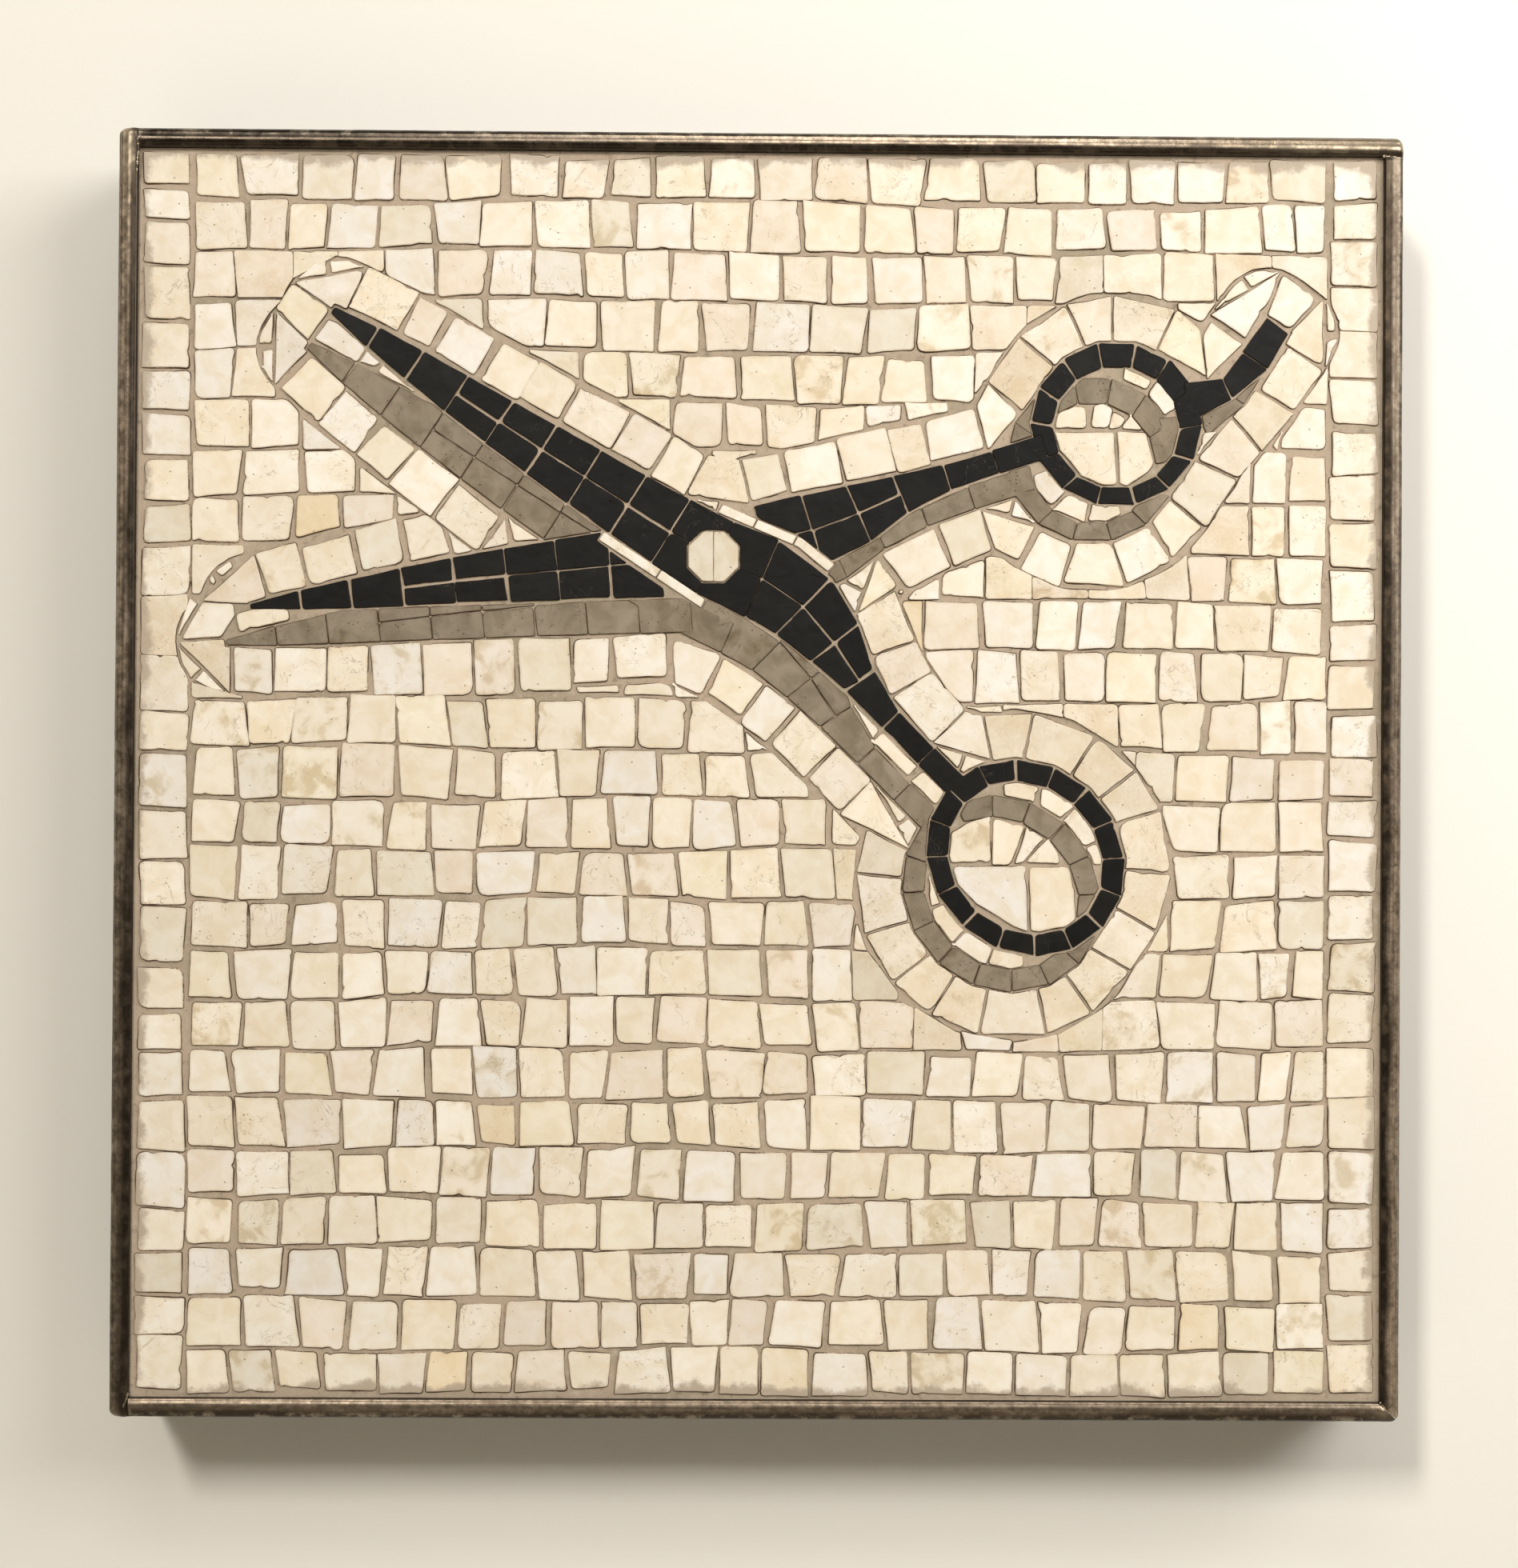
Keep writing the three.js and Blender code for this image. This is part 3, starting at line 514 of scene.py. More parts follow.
def board_material():
    """Birch plywood board: long grain, darker pores and a few water stains."""
    made, g, shader, here = new_material("Plywood board")
    place = g.scaled(here, 1000.0)
    stretched = g.vmath("MULTIPLY", place, (0.02, 0.2, 0.5))
    grain = g.noise(stretched, 1.0, 6.0, 0.62, 1.4)
    rings = g.node(
        "ShaderNodeTexWave",
        values={"Vector": stretched, "Scale": 0.22, "Distortion": 9.0, "Detail": 3.0, "Detail Scale": 1.2},
    )
    pores = g.noise(g.vmath("MULTIPLY", place, (0.35, 1.0, 6.0)), 1.0, 2.0, 0.6)
    stain = g.noise(place, 0.018, 4.0, 0.6)
    body = g.mix(g.ramp(grain, 0.3, 0.7), linear(0.80, 0.68, 0.50), linear(0.66, 0.51, 0.34))
    body = g.mix(g.times(rings, 0.35), body, linear(0.60, 0.45, 0.29))
    layers = (
        (linear(0.36, 0.25, 0.15), pores, 0.62, 0.75, 0.0, 0.6),
        (linear(0.48, 0.40, 0.31), stain, 0.52, 0.7, 0.0, 0.5),
    )
    body = g.layered(body, layers)
    g.give(shader["Base Color"], body)
    g.give(shader["Roughness"], g.ramp(grain, 0.3, 0.7, 0.6, 0.78))
    g.give(shader["Normal"], g.bump(0.4, 0.0002, pores))
    return made


def mortar_material():
    """Grey bedding mortar with sand and small voids."""
    made, g, shader, here = new_material("Bedding mortar")
    place = g.scaled(here, 1000.0)
    cloud, sand = g.noise(place, 0.12, 5.0, 0.6), g.noise(place, 2.4, 4.0, 0.7)
    body = g.mix(g.ramp(cloud, 0.35, 0.65), linear(0.60, 0.57, 0.52), linear(0.48, 0.45, 0.41))
    layers = (
        (linear(0.76, 0.72, 0.65), sand, 0.56, 0.72, 0.0, 0.6),
        (linear(0.30, 0.27, 0.23), sand, 0.28, 0.42, 0.7, 0.0),
    )
    body = g.layered(body, layers)
    g.give(shader["Base Color"], body)
    g.give(shader["Roughness"], g.ramp(cloud, 0.3, 0.7, 0.85, 0.95))
    g.give(shader["Normal"], g.bump(0.5, 0.0004, sand))
    return made


# Reading the stones' places from the frame


def front_cells(node):
    """Outlines of a node's stone faces, as lists of (x, z) in order, counter-clockwise from the front."""
    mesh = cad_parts[node].data
    co = np.empty(len(mesh.vertices) * 3)
    mesh.vertices.foreach_get("co", co)
    co = co.reshape(-1, 3)
    keys, place, name_of = {}, [], []
    for p in co:
        key = tuple(np.round(p * 1e5).astype(int))
        if key not in keys:
            keys[key] = len(place)
            place.append(p)
        name_of.append(keys[key])
    faces = []
    for poly in mesh.polygons:
        if poly.normal.y < -0.95 and poly.center.y < FACE_LIMIT:
            faces.append([name_of[v] for v in poly.vertices])
    owner, beside = {}, {}
    for i, face in enumerate(faces):
        for a, b in zip(face, face[1:] + face[:1]):
            owner[(a, b)] = i
    cells, seen = [], set()
    for start in range(len(faces)):
        if start in seen:
            continue
        stack, members = [start], set()
        while stack:
            i = stack.pop()
            if i in members:
                continue
            members.add(i)
            face = faces[i]
            for a, b in zip(face, face[1:] + face[:1]):
                if (b, a) in owner and owner[(b, a)] not in members:
                    stack.append(owner[(b, a)])
        seen |= members
        follow = {}
        for i in members:
            face = faces[i]
            for a, b in zip(face, face[1:] + face[:1]):
                if (b, a) not in owner:
                    follow[a] = b
        loops = []
        while follow:
            first = next(iter(follow))
            loop, at = [], first
            while at in follow:
                loop.append(at)
                at = follow.pop(at)
            loops.append([(place[v][0], place[v][2]) for v in loop])
        if loops:
            cells.append(max(loops, key=lambda l: abs(area_of(l))))
    return [c for c in cells if abs(area_of(c)) > LEAST_STONE]


def area_of(points):
    """The area, above nought where the points run counter-clockwise."""
    return 0.5 * sum(a[0] * b[1] - b[0] * a[1] for a, b in zip(points, points[1:] + points[:1]))


def centre_of(points):
    """The centre of the area."""
    a = area_of(points)
    x = y = 0.0
    for p, q in zip(points, points[1:] + points[:1]):
        w = p[0] * q[1] - q[0] * p[1]
        x += (p[0] + q[0]) * w
        y += (p[1] + q[1]) * w
    return Vector((x / (6 * a), y / (6 * a)))


def plain_corners(points, least=0.13):
    """The outline without points that lie on a nearly straight run."""
    pts = [Vector(p) for p in points]
    if area_of(points) < 0:
        pts.reverse()
    changed = True
    while changed and len(pts) > 3:
        changed = False
        for i in range(len(pts)):
            a, b, c = pts[i - 1], pts[i], pts[(i + 1) % len(pts)]
            u, v = b - a, c - b
            if u.length < 1e-4 or v.length < 1e-4 or abs(u.angle_signed(v, 0.0)) < least:
                pts.pop(i)
                changed = True
                break
    return pts


def narrowest(points):
    """The least width of an outline, over the directions across its sides."""
    pts = np.array(points)
    widths = []
    for a, b in zip(pts, np.roll(pts, -1, axis=0)):
        run = b - a
        if np.hypot(*run) > 1e-6:
            across = (pts - a) @ (np.array((-run[1], run[0])) / np.hypot(*run))
            widths.append(across.max() - across.min())
    return min(widths)


def covered_grid(cells):
    """A grid over the field that is true where a stone or the joint round it lies."""
    count = int(round(2 * HALF_FIELD / GRID))
    taken = np.zeros((count, count), bool)
    rim = int(round(0.0016 / GRID))
    taken[:rim, :] = taken[-rim:, :] = taken[:, :rim] = taken[:, -rim:] = True
    for cell in cells:
        pts = np.array([(x + HALF_FIELD, z + HALF_FIELD - FIELD_CENTRE) for x, z in cell])
        low = np.maximum(((pts.min(0) - JOINT) / GRID).astype(int), 0)
        high = np.minimum(((pts.max(0) + JOINT) / GRID).astype(int) + 2, count)
        spans = [(np.arange(a, b) + 0.5) * GRID for a, b in zip(low, high)]
        gx, gz = np.meshgrid(*spans, indexing="ij")
        odd, near = np.zeros(gx.shape, bool), np.full(gx.shape, 1.0)
        for a, b in zip(pts, np.roll(pts, -1, axis=0)):
            run = b - a
            if abs(run[1]) > 1e-12:
                odd ^= ((a[1] > gz) != (b[1] > gz)) & (gx < a[0] + (gz - a[1]) / run[1] * run[0])
            t = np.clip(((gx - a[0]) * run[0] + (gz - a[1]) * run[1]) / max(run @ run, 1e-12), 0, 1)
            near = np.minimum(near, np.hypot(gx - a[0] - t * run[0], gz - a[1] - t * run[1]))
        taken[low[0] : high[0], low[1] : high[1]] |= odd | (near < JOINT)
    return taken


def fitted(cells, others, least=0.0005):
    """Stones whose edges are moved out, where a gap is open beside them, to the usual joint."""
    taken = covered_grid(cells + others)
    top = len(taken) - 1
    shares = np.linspace(0.06, 0.94, 9)

    def spots(a, b, out, d):
        xs = (a.x + (b.x - a.x) * shares + out.x * d + HALF_FIELD) / GRID
        zs = (a.y + (b.y - a.y) * shares + out.y * d + HALF_FIELD - FIELD_CENTRE) / GRID
        return np.clip(xs.astype(int), 0, top), np.clip(zs.astype(int), 0, top)

    made = []
    for cell in cells:
        pts = [Vector(p) for p in plain_corners(cell)]
        if len(pts) > 6 or not is_convex(pts):
            made.append(cell)
            continue
        reach = []
        for a, b in zip(pts, pts[1:] + pts[:1]):
            out = Vector(((b - a).y, -(b - a).x)).normalized()
            d = JOINT + PROBE
            while (b - a).length > 0.003 and d < MOST_GROWTH and not taken[spots(a, b, out, d)].any():
                d += PROBE
            move = d - PROBE - JOINT
            reach.append(move if move > least else 0.0)
            if move > least:
                for way in np.arange(0.0, move + JOINT, PROBE):
                    taken[spots(a, b, out, way)] = True
        moved = []
        for i, b in enumerate(pts):
            u, v = (b - pts[i - 1]).normalized(), (pts[(i + 1) % len(pts)] - b).normalized()
            turn = u.cross(v)
            if abs(turn) < 0.3:
                moved.append(b - Vector((-u.y, u.x)) * reach[i - 1])
            else:
                shift = (v * reach[i - 1] - u * reach[i]) / turn
                longest = 1.4 * max(reach[i - 1], reach[i])
                moved.append(b - (shift.normalized() * longest if shift.length > longest else shift))
        made.append([(p.x, p.y) for p in moved])
    return made


def parted(cell, shares, gap=0.00022):
    """A long stone cut across its length, at those shares of it, into shorter ones."""
    pts = [Vector(p) for p in plain_corners(cell)]
    spread = np.array([(p.x, p.y) for p in pts])
    _, axes = np.linalg.eigh(np.cov((spread - spread.mean(0)).T))
    along = Vector(axes[:, 1])
    values = [p.dot(along) for p in pts]
    low, high = min(values), max(values)
    limits = [low - 1, *(low + (high - low) * s for s in shares), high + 1]
    made = []
    for a, b in zip(limits, limits[1:]):
        part = pts
        for sign, limit in ((1, a + gap / 2), (-1, b - gap / 2)):
            kept = []
            for p, q in zip(part, part[1:] + part[:1]):
                u, v = sign * (p.dot(along) - limit), sign * (q.dot(along) - limit)
                if u >= 0:
                    kept.append(p)
                if u * v < 0:
                    kept.append(p.lerp(q, u / (u - v)))
            part = kept
        made.append([(p.x, p.y) for p in part])
    return made


def hull_of(points):
    """The convex hull, counter-clockwise."""
    pts = sorted(set(map(tuple, points)))
    chains = []
    for order in (pts, pts[::-1]):
        chain = []
        for p in order:
            while len(chain) > 1 and (chain[-1][0] - chain[-2][0]) * (p[1] - chain[-2][1]) <= (
                chain[-1][1] - chain[-2][1]
            ) * (p[0] - chain[-2][0]):
                chain.pop()
            chain.append(p)
        chains += chain[:-1]
    return chains


def gap_stones(cells, longest=0.0095, least=2.6e-6):
    """Outlines of small stones that fill what the frame's stones leave open."""
    taken = covered_grid(cells)
    free, made = ~taken, []
    todo = set(map(tuple, np.argwhere(free)))
    while todo:
        stack, part = [todo.pop()], []
        while stack:
            x, z = stack.pop()
            part.append((x, z))
            for other in ((x + 1, z), (x - 1, z), (x, z + 1), (x, z - 1)):
                if other in todo:
                    todo.remove(other)
                    stack.append(other)
        parts = [np.array(part, float)]
        while parts:
            spots = parts.pop()
            if len(spots) * GRID**2 < least:
                continue
            middle = spots.mean(0)
            values, axes = np.linalg.eigh(np.cov((spots - middle).T))
            along = (spots - middle) @ axes[:, 1]
            hull = hull_of((spots + 0.5) * GRID)
            filled = len(spots) * GRID**2 / max(abs(area_of(hull)), 1e-9)
            if (along.max() - along.min()) * GRID > longest or filled < 0.80:
                cut = np.median(along)
                parts += [spots[along < cut - 0.8], spots[along > cut + 0.8]]
                continue
            outline = [(x - HALF_FIELD, z - HALF_FIELD + FIELD_CENTRE) for x, z in hull]
            if narrowest(outline) > LEAST_FILLER:
                made.append(outline)
    return made


def is_convex(pts):
    """Whether every corner turns the same way."""
    n = len(pts)
    return all((pts[(i + 1) % n] - pts[i]).cross(pts[(i + 2) % n] - pts[(i + 1) % n]) > 0 for i in range(n))


def edge_key(a, b):
    """The place of an edge's middle, on a grid of 0.01 mm."""
    return round((a[0] + b[0]) * EDGE_KEYS), round((a[1] + b[1]) * EDGE_KEYS)


def touching_edges(cells):
    """Keys of the edges that two stones share, so that neither grows over the other."""
    counts = {}
    for cell in cells:
        pts = plain_corners(cell)
        for a, b in zip(pts, pts[1:] + pts[:1]):
            for x in (-1, 0, 1):
                for z in (-1, 0, 1):
                    key = edge_key(a, b)
                    key = (key[0] + x, key[1] + z)
                    counts[key] = counts.get(key, 0) + 1
    return {key for key, count in counts.items() if count > 1}


def cut_back(pts, dice, stones, loose, tight, shared):
    """Corners moved a little into the stone, each edge by its own amount, as a hand cut leaves them.

    tight is the least that an edge is cut back; below nought it grows into the joint."""
    middle = sum(pts, Vector((0, 0))) / len(pts)
    made = []
    n = len(pts)
    edge_in = []
    for a, b in zip(pts, pts[1:] + pts[:1]):
        least = 0.00008 if tight < 0 and edge_key(a, b) in shared else tight
        share = dice.random() ** 1.7 * (2.2 if dice.random() < 0.2 else 1.2)
        edge_in.append(least + stones.edge_in * share * loose * (0.6 if least > tight else 1.0))
    for i in range(n):
        a, b, c = pts[i - 1], pts[i], pts[(i + 1) % n]
        u, v = (b - a).normalized(), (c - b).normalized()
        left_u, left_v = Vector((-u.y, u.x)), Vector((-v.y, v.x))
        turn = u.cross(v)
        corner = stones.corner_in * max(0.0, dice.uniform(-1.1, 1.0)) * loose
        room = 0.3 * min((b - a).length, (c - b).length, (b - middle).length)
        if abs(turn) < 0.2:
            made.append(b + left_u * min(edge_in[i - 1], room))
            continue
        du, dv = min(edge_in[i - 1], room), min(edge_in[i], room)
        p = b + (v * du - u * dv) / turn
        inward = (middle - b).normalized()
        made.append(p + inward * min(corner, room))
    return made


def rough_outline(pts, dice, stones, loose, chips=True):
    """The stone's outline as many points: rounded corners, a wandering edge and a few chips."""
    n = len(pts)
    line = []
    for i in range(n):
        a, b, c = pts[i - 1], pts[i], pts[(i + 1) % n]
        before, after = a - b, c - b
        r = dice.uniform(stones.round_least, stones.round_most * (0.4 + 0.6 * loose))
        if dice.random() < 0.12 * loose:
            r *= 2.0
        r = min(r, 0.3 * before.length, 0.3 * after.length)
        p0, p1 = b + before.normalized() * r, b + after.normalized() * r
        middle = (p0 + p1) / 2 * 0.45 + b * 0.55
        line.append((p0, middle, p1))
    made = []
    for i in range(n):
        p0, middle, p1 = line[i]
        q0 = line[(i + 1) % n][0]
        made += [p0, middle * 0.75 + p0 * 0.25, middle * 0.75 + p1 * 0.25]
        run = q0 - p1
        count = max(1, int(round(run.length / stones.step)))
        side = Vector((-run.y, run.x)).normalized() if run.length > 1e-6 else Vector((0, 0))
        bow = dice.uniform(-0.06, 0.16) * MM * min(1.0, run.length / 0.007) * loose
        chip_at, chip_in, chip_wide = dice.random(), 0.0, 0.1
        if chips and dice.random() < 0.22:
            chip_in, chip_wide = dice.uniform(0.3, 1.0) * stones.chip * loose, dice.uniform(0.05, 0.12)
        for k in range(count):
            t = k / count
            p = p1 + run * t
            wander = noise.noise(Vector((p.x * 420, p.y * 420, dice.seed_value))) * 0.10 * MM * (0.35 + 0.65 * loose)
            fade = min(1.0, 4 * t * (1 - t) + 0.2)
            chip_here = chip_in * math.exp(-(((t - chip_at) / chip_wide) ** 2))
            made.append(p + side * (bow * 4 * t * (1 - t) + max(-0.04 * MM, wander * fade) + chip_here))
    return made


def lowered(outline, centre, by):
    """The outline drawn in by a set distance, towards the stone's middle."""
    n = len(outline)
    made = []
    for i in range(n):
        u = (outline[i] - outline[i - 1]) + (outline[(i + 1) % n] - outline[i])
        side = Vector((-u.y, u.x)).normalized() if u.length > 1e-9 else (centre - outline[i]).normalized()
        made.append(outline[i] + side * by)
    return made


class StoneHeap:
    """Collects stones into one mesh, with each stone's tone and dice."""

    def __init__(self):
        self.verts, self.faces, self.tone, self.dice, self.rim, self.skirt = [], [], [], [], [], []

    def add(self, cell, tone, dice, stones, face, loose, skirted, tight=0.0, chips=True, shared=()):
        pts = plain_corners(cell)
        if len(pts) < 3:
            return
        convex = is_convex(pts)
        dice.seed_value = dice.uniform(0, 100)
        if convex and loose > 0:
            pts = cut_back(pts, dice, stones, loose, tight, shared)
            if tight < 0:
                middle = sum(pts, Vector((0, 0))) / len(pts)
                turn = Matrix.Rotation(dice.uniform(-0.036, 0.036), 2)
                shift = Vector((dice.uniform(-0.06, 0.06), dice.uniform(-0.20, 0.20))) * MM
                pts = [middle + turn @ (p - middle) + shift for p in pts]
        outline = rough_outline(pts, dice, stones, loose, chips)
        centre = sum(outline, Vector((0, 0))) / len(outline)
        slope = Vector((dice.uniform(-1, 1), dice.uniform(-1, 1))) * stones.tilt / 0.009
        lift = dice.uniform(-0.06, 0.06) * MM
        vector = (dice.random(), dice.random(), dice.random())

        def high(p):
            return face + lift + (p - centre).dot(slope)

        width = stones.skirt * skirted
        n = len(outline)
        flare = [width * max(0.0, 0.55 + 0.9 * noise.noise(Vector((p.x * 230, p.y * 230, 7.0)))) for p in outline]
        out = lowered(outline, centre, -1.0)
        bottom = [p + (q - p) * f for p, q, f in zip(outline, out, flare)]
        foot = [face + 0.00038 + 0.00004 * noise.noise(Vector((p.x * 300, p.y * 300, 3.0))) for p in bottom]
        rings = [
            (bottom, [face + stones.sunk] * n, 1.0, 1.0),
            (bottom, foot, 1.0, 1.0),
            (outline, [high(p) + 0.00017 for p in outline], 1.0, 1.0),
            (lowered(outline, centre, stones.bevel * 0.3), [high(p) + 0.00006 for p in outline], 1.0, 0.25),
            (lowered(outline, centre, stones.bevel), [high(p) for p in outline], 1.0, 0.0),
        ]
        base = len(self.verts)
        for ring, levels, rim, skirt in rings:
            for p, y in zip(ring, levels):
                self.vert(p, y, tone, vector, rim, skirt)
        for r in range(len(rings) - 1):
            for i in range(n):
                j = (i + 1) % n
                a = base + r * n
                self.faces.append((a + i, a + j, a + n + j, a + n + i))
        self.faces.append(tuple(base + i for i in reversed(range(n))))
        top = base + (len(rings) - 1) * n
        if not convex:
            self.faces.append(tuple(top + i for i in range(n)))
            return
        last = rings[-1][0]
        for share, rim in ((0.80, 0.45), (0.42, 0.0)):
            start = len(self.verts)
            for i in range(n):
                p = centre + (last[i] - centre) * share
                self.vert(p, high(p), tone, vector, rim, 0.0)
            for i in range(n):
                j = (i + 1) % n
                self.faces.append((top + i, top + j, start + j, start + i))
            top = start
        self.vert(centre, high(centre), tone, vector, 0.0, 0.0)
        tip = len(self.verts) - 1
        for i in range(n):
            self.faces.append((top + i, top + (i + 1) % n, tip))

    def vert(self, p, y, tone, vector, rim, skirt):
        self.verts.append((p.x, y, p.y))
        self.tone.append(tone)
        self.dice.append(vector)
        self.rim.append(rim)
        self.skirt.append(skirt)

    def make(self, name):
        mesh = bpy.data.meshes.new(name)
        mesh.from_pydata(self.verts, [], self.faces)
        give_values(mesh, "tone", "FLOAT_COLOR", self.tone)
        give_values(mesh, "dice", "FLOAT_VECTOR", self.dice)
        give_values(mesh, "rim", "FLOAT", self.rim)
        give_values(mesh, "skirt", "FLOAT", self.skirt)
        return new_object(name, mesh)


# Geometry Nodes trees


def geometry_tree(name, inputs):
    """A new geometry tree with those inputs after its Geometry and its Material."""
    inputs = {"Geometry": "Geometry", **inputs, "Material": "Material"}
    return group_of(name, "GeometryNodeTree", inputs, [("Geometry", "Geometry")])


def end_tree(g, result, geometry, material):
    """Realize Instances and Set Material, and the tree's output."""
    real = g.node("GeometryNodeRealizeInstances", values={"Geometry": geometry})
    g.give(result[0], g.node("GeometryNodeSetMaterial", values={"Geometry": real, "Material": material}))
    return g.tree


@built_once("Split stone faces")
def split_face_tree(name):
    """Uneven split faces and a fine wander of the cut edges, different on each stone."""
    g, given, result = geometry_tree(name, {"Relief": 0.00007, "Edge wander": 0.00004, "Seed": 1})
    dice = g.node("GeometryNodeInputNamedAttribute", out=0, data_type="FLOAT_VECTOR", values={"Name": "dice"})
    rim = g.node("GeometryNodeInputNamedAttribute", out=0, data_type="FLOAT", values={"Name": "skirt"})
    at = g.node("GeometryNodeInputPosition")
    place = g.vmath("ADD", g.scaled(at, 1000.0), g.scaled(dice, 91.0))
    place = g.vmath("ADD", place, g.joined(y=given["Seed"]))
    swell = g.minus(g.noise(place, 0.28, 2.0, 0.5), 0.5)
    face = g.minus(1.0, rim, clamp=True)
    up = g.times(g.times(swell, face), g.times(given["Relief"], 3.0))
    ragged = g.vmath("SUBTRACT", g.noise(place, 1.5, 3.0, 0.6, out=1), (0.5, 0.5, 0.5))
    ragged = g.vmath("MULTIPLY", g.scaled(ragged, given["Edge wander"]), (2.0, 0.0, 2.0))
    offset = g.vmath("ADD", ragged, g.joined(y=up))
    moved = g.node("GeometryNodeSetPosition", values={"Geometry": given["Geometry"], "Offset": offset})
    return end_tree(g, result, moved, given["Material"])


@built_once("Grout slab")
def grout_tree(name):
    """A slab of grout whose front is uneven, made from its sizes."""
    inputs = {"Width": 0.25, "Height": 0.25, "Front": GROUT_FRONT, "Back": -0.0208, "Points": 150}
    g, given, result = geometry_tree(name, inputs | {"Unevenness": 0.00012, "Seed": 1})
    depth = g.minus(given["Back"], given["Front"])
    size = g.joined(given["Width"], depth, given["Height"])
    slab = g.node(
        "GeometryNodeMeshCube",
        values={"Size": size, "Vertices X": given["Points"], "Vertices Y": 2, "Vertices Z": given["Points"]},
    )
    middle = g.times(g.plus(given["Back"], given["Front"]), 0.5)
    centre = g.joined(y=middle, z=g.minus(g.times(given["Height"], -0.5), BAR_WIDTH / 2))
    slab = g.node("GeometryNodeTransform", values={"Geometry": slab, "Translation": centre})
    at = g.node("GeometryNodeInputPosition")
    y = g.split(at)[1]
    front = g.math("LESS_THAN", y, middle)
    place = g.vmath("ADD", g.scaled(at, 1000.0), g.joined(y=given["Seed"]))
    swell = g.minus(g.noise(place, 0.22, 4.0, 0.65), 0.5)
    amount = g.times(g.times(swell, front), g.times(given["Unevenness"], 2.5))
    offset = g.joined(y=amount)
    moved = g.node("GeometryNodeSetPosition", values={"Geometry": slab, "Offset": offset})
    return end_tree(g, result, moved, given["Material"])


@built_once("Worn bar")
def worn_bar_tree(name):
    """Shallow dents and a slight wander over a steel bar."""
    g, given, result = geometry_tree(name, {"Wear": 0.00007, "Seed": 1})
    at = g.node("GeometryNodeInputPosition")
    normal = g.node("GeometryNodeInputNormal")
    place = g.vmath("ADD", g.scaled(at, 1000.0), g.joined(y=given["Seed"]))
    dents = g.minus(g.noise(place, 0.35, 3.0, 0.55), 0.62)
    wander = g.minus(g.noise(place, 0.06, 2.0, 0.5), 0.62)
    push = g.math("MINIMUM", g.plus(g.times(dents, 1.6), g.times(wander, 2.0)), 0.0)
    worn = g.node("GeometryNodeInputNamedAttribute", out=0, data_type="FLOAT", values={"Name": "free"})
    offset = g.scaled(normal, g.times(g.times(push, worn), given["Wear"]))
    moved = g.node("GeometryNodeSetPosition", values={"Geometry": given["Geometry"], "Offset": offset})
    return end_tree(g, result, moved, given["Material"])


@built_once("Weld drops")
def weld_tree(name):
    """A ragged run of small weld drops along a line."""
    g, given, result = geometry_tree(name, {"Spacing": 0.00035, "Drop": 0.00030, "Flatness": 0.45, "Seed": 1})
    line = g.node("GeometryNodeMeshToCurve", values={"Mesh": given["Geometry"]})
    line = g.node("GeometryNodeResampleCurve", mode="LENGTH", values={"Curve": line, "Length": given["Spacing"]})
    ball = g.node("GeometryNodeMeshIcoSphere", values={"Radius": given["Drop"], "Subdivisions": 2})

    def share(low, high, seed):
        values = {2: low, 3: high, "Seed": g.plus(given["Seed"], seed)}
        return g.node("FunctionNodeRandomValue", out=1, data_type="FLOAT", values=values)

    size = g.joined(share(0.5, 1.3, 1), g.times(share(0.7, 1.2, 2), given["Flatness"]), share(0.6, 1.5, 3))
    drops = g.node("GeometryNodeInstanceOnPoints", values={"Points": line, "Instance": ball, "Scale": size})
    real = g.node("GeometryNodeRealizeInstances", values={"Geometry": drops})
    at = g.scaled(g.node("GeometryNodeInputPosition"), 1000.0)
    ragged = g.vmath("SUBTRACT", g.noise(at, 2.4, 3.0, 0.6, out=1), (0.5, 0.5, 0.5))
    offset = g.scaled(ragged, g.times(given["Drop"], 0.9))
    moved = g.node("GeometryNodeSetPosition", values={"Geometry": real, "Offset": offset})
    return end_tree(g, result, moved, given["Material"])


def grown(obj, tree, values):
    """The object with the tree's result as its plain mesh."""
    modifier = obj.modifiers.new(tree.name, "NODES")
    modifier.node_group = tree
    for item in tree.interface.items_tree:
        if item.item_type == "SOCKET" and item.in_out == "INPUT" and item.name in values:
            modifier[item.identifier] = values[item.name]
    bpy.context.view_layer.update()
    graph = bpy.context.evaluated_depsgraph_get()
    mesh = bpy.data.meshes.new_from_object(obj.evaluated_get(graph), depsgraph=graph)
    obj.modifiers.remove(modifier)
    obj.data = mesh
    mesh.name = obj.name
    return obj


def as_piece(obj, nodes):
    """Rides the piece on the root, in place of its CAD nodes."""
    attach(obj, "root")
    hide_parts(*nodes)
    return obj


# The pieces


def ground_tone(dice, colours):
    """A ground stone's own colour."""
    name = dice.choices(["cream", "pale", "lilac", "pink", "yellow", "grey", "orange"], [36, 20, 14, 12, 8, 9, 1])[0]
    other = dice.choice(["cream", "pale", "lilac"])
    share, light = dice.uniform(0.0, 0.5), dice.uniform(0.94, 1.03)
    a, b = getattr(colours, name), getattr(colours, other)
    return tuple(min(1.0, (a[i] * (1 - share) + b[i] * share) * light) for i in range(3)) + (1.0,)


def varied(tone, dice, spread):
    """The tone made lighter or darker by up to that spread."""
    light = dice.uniform(1 - spread, 1 + spread)
    return tuple(min(1.0, c * light) for c in tone[:3]) + (1.0,)


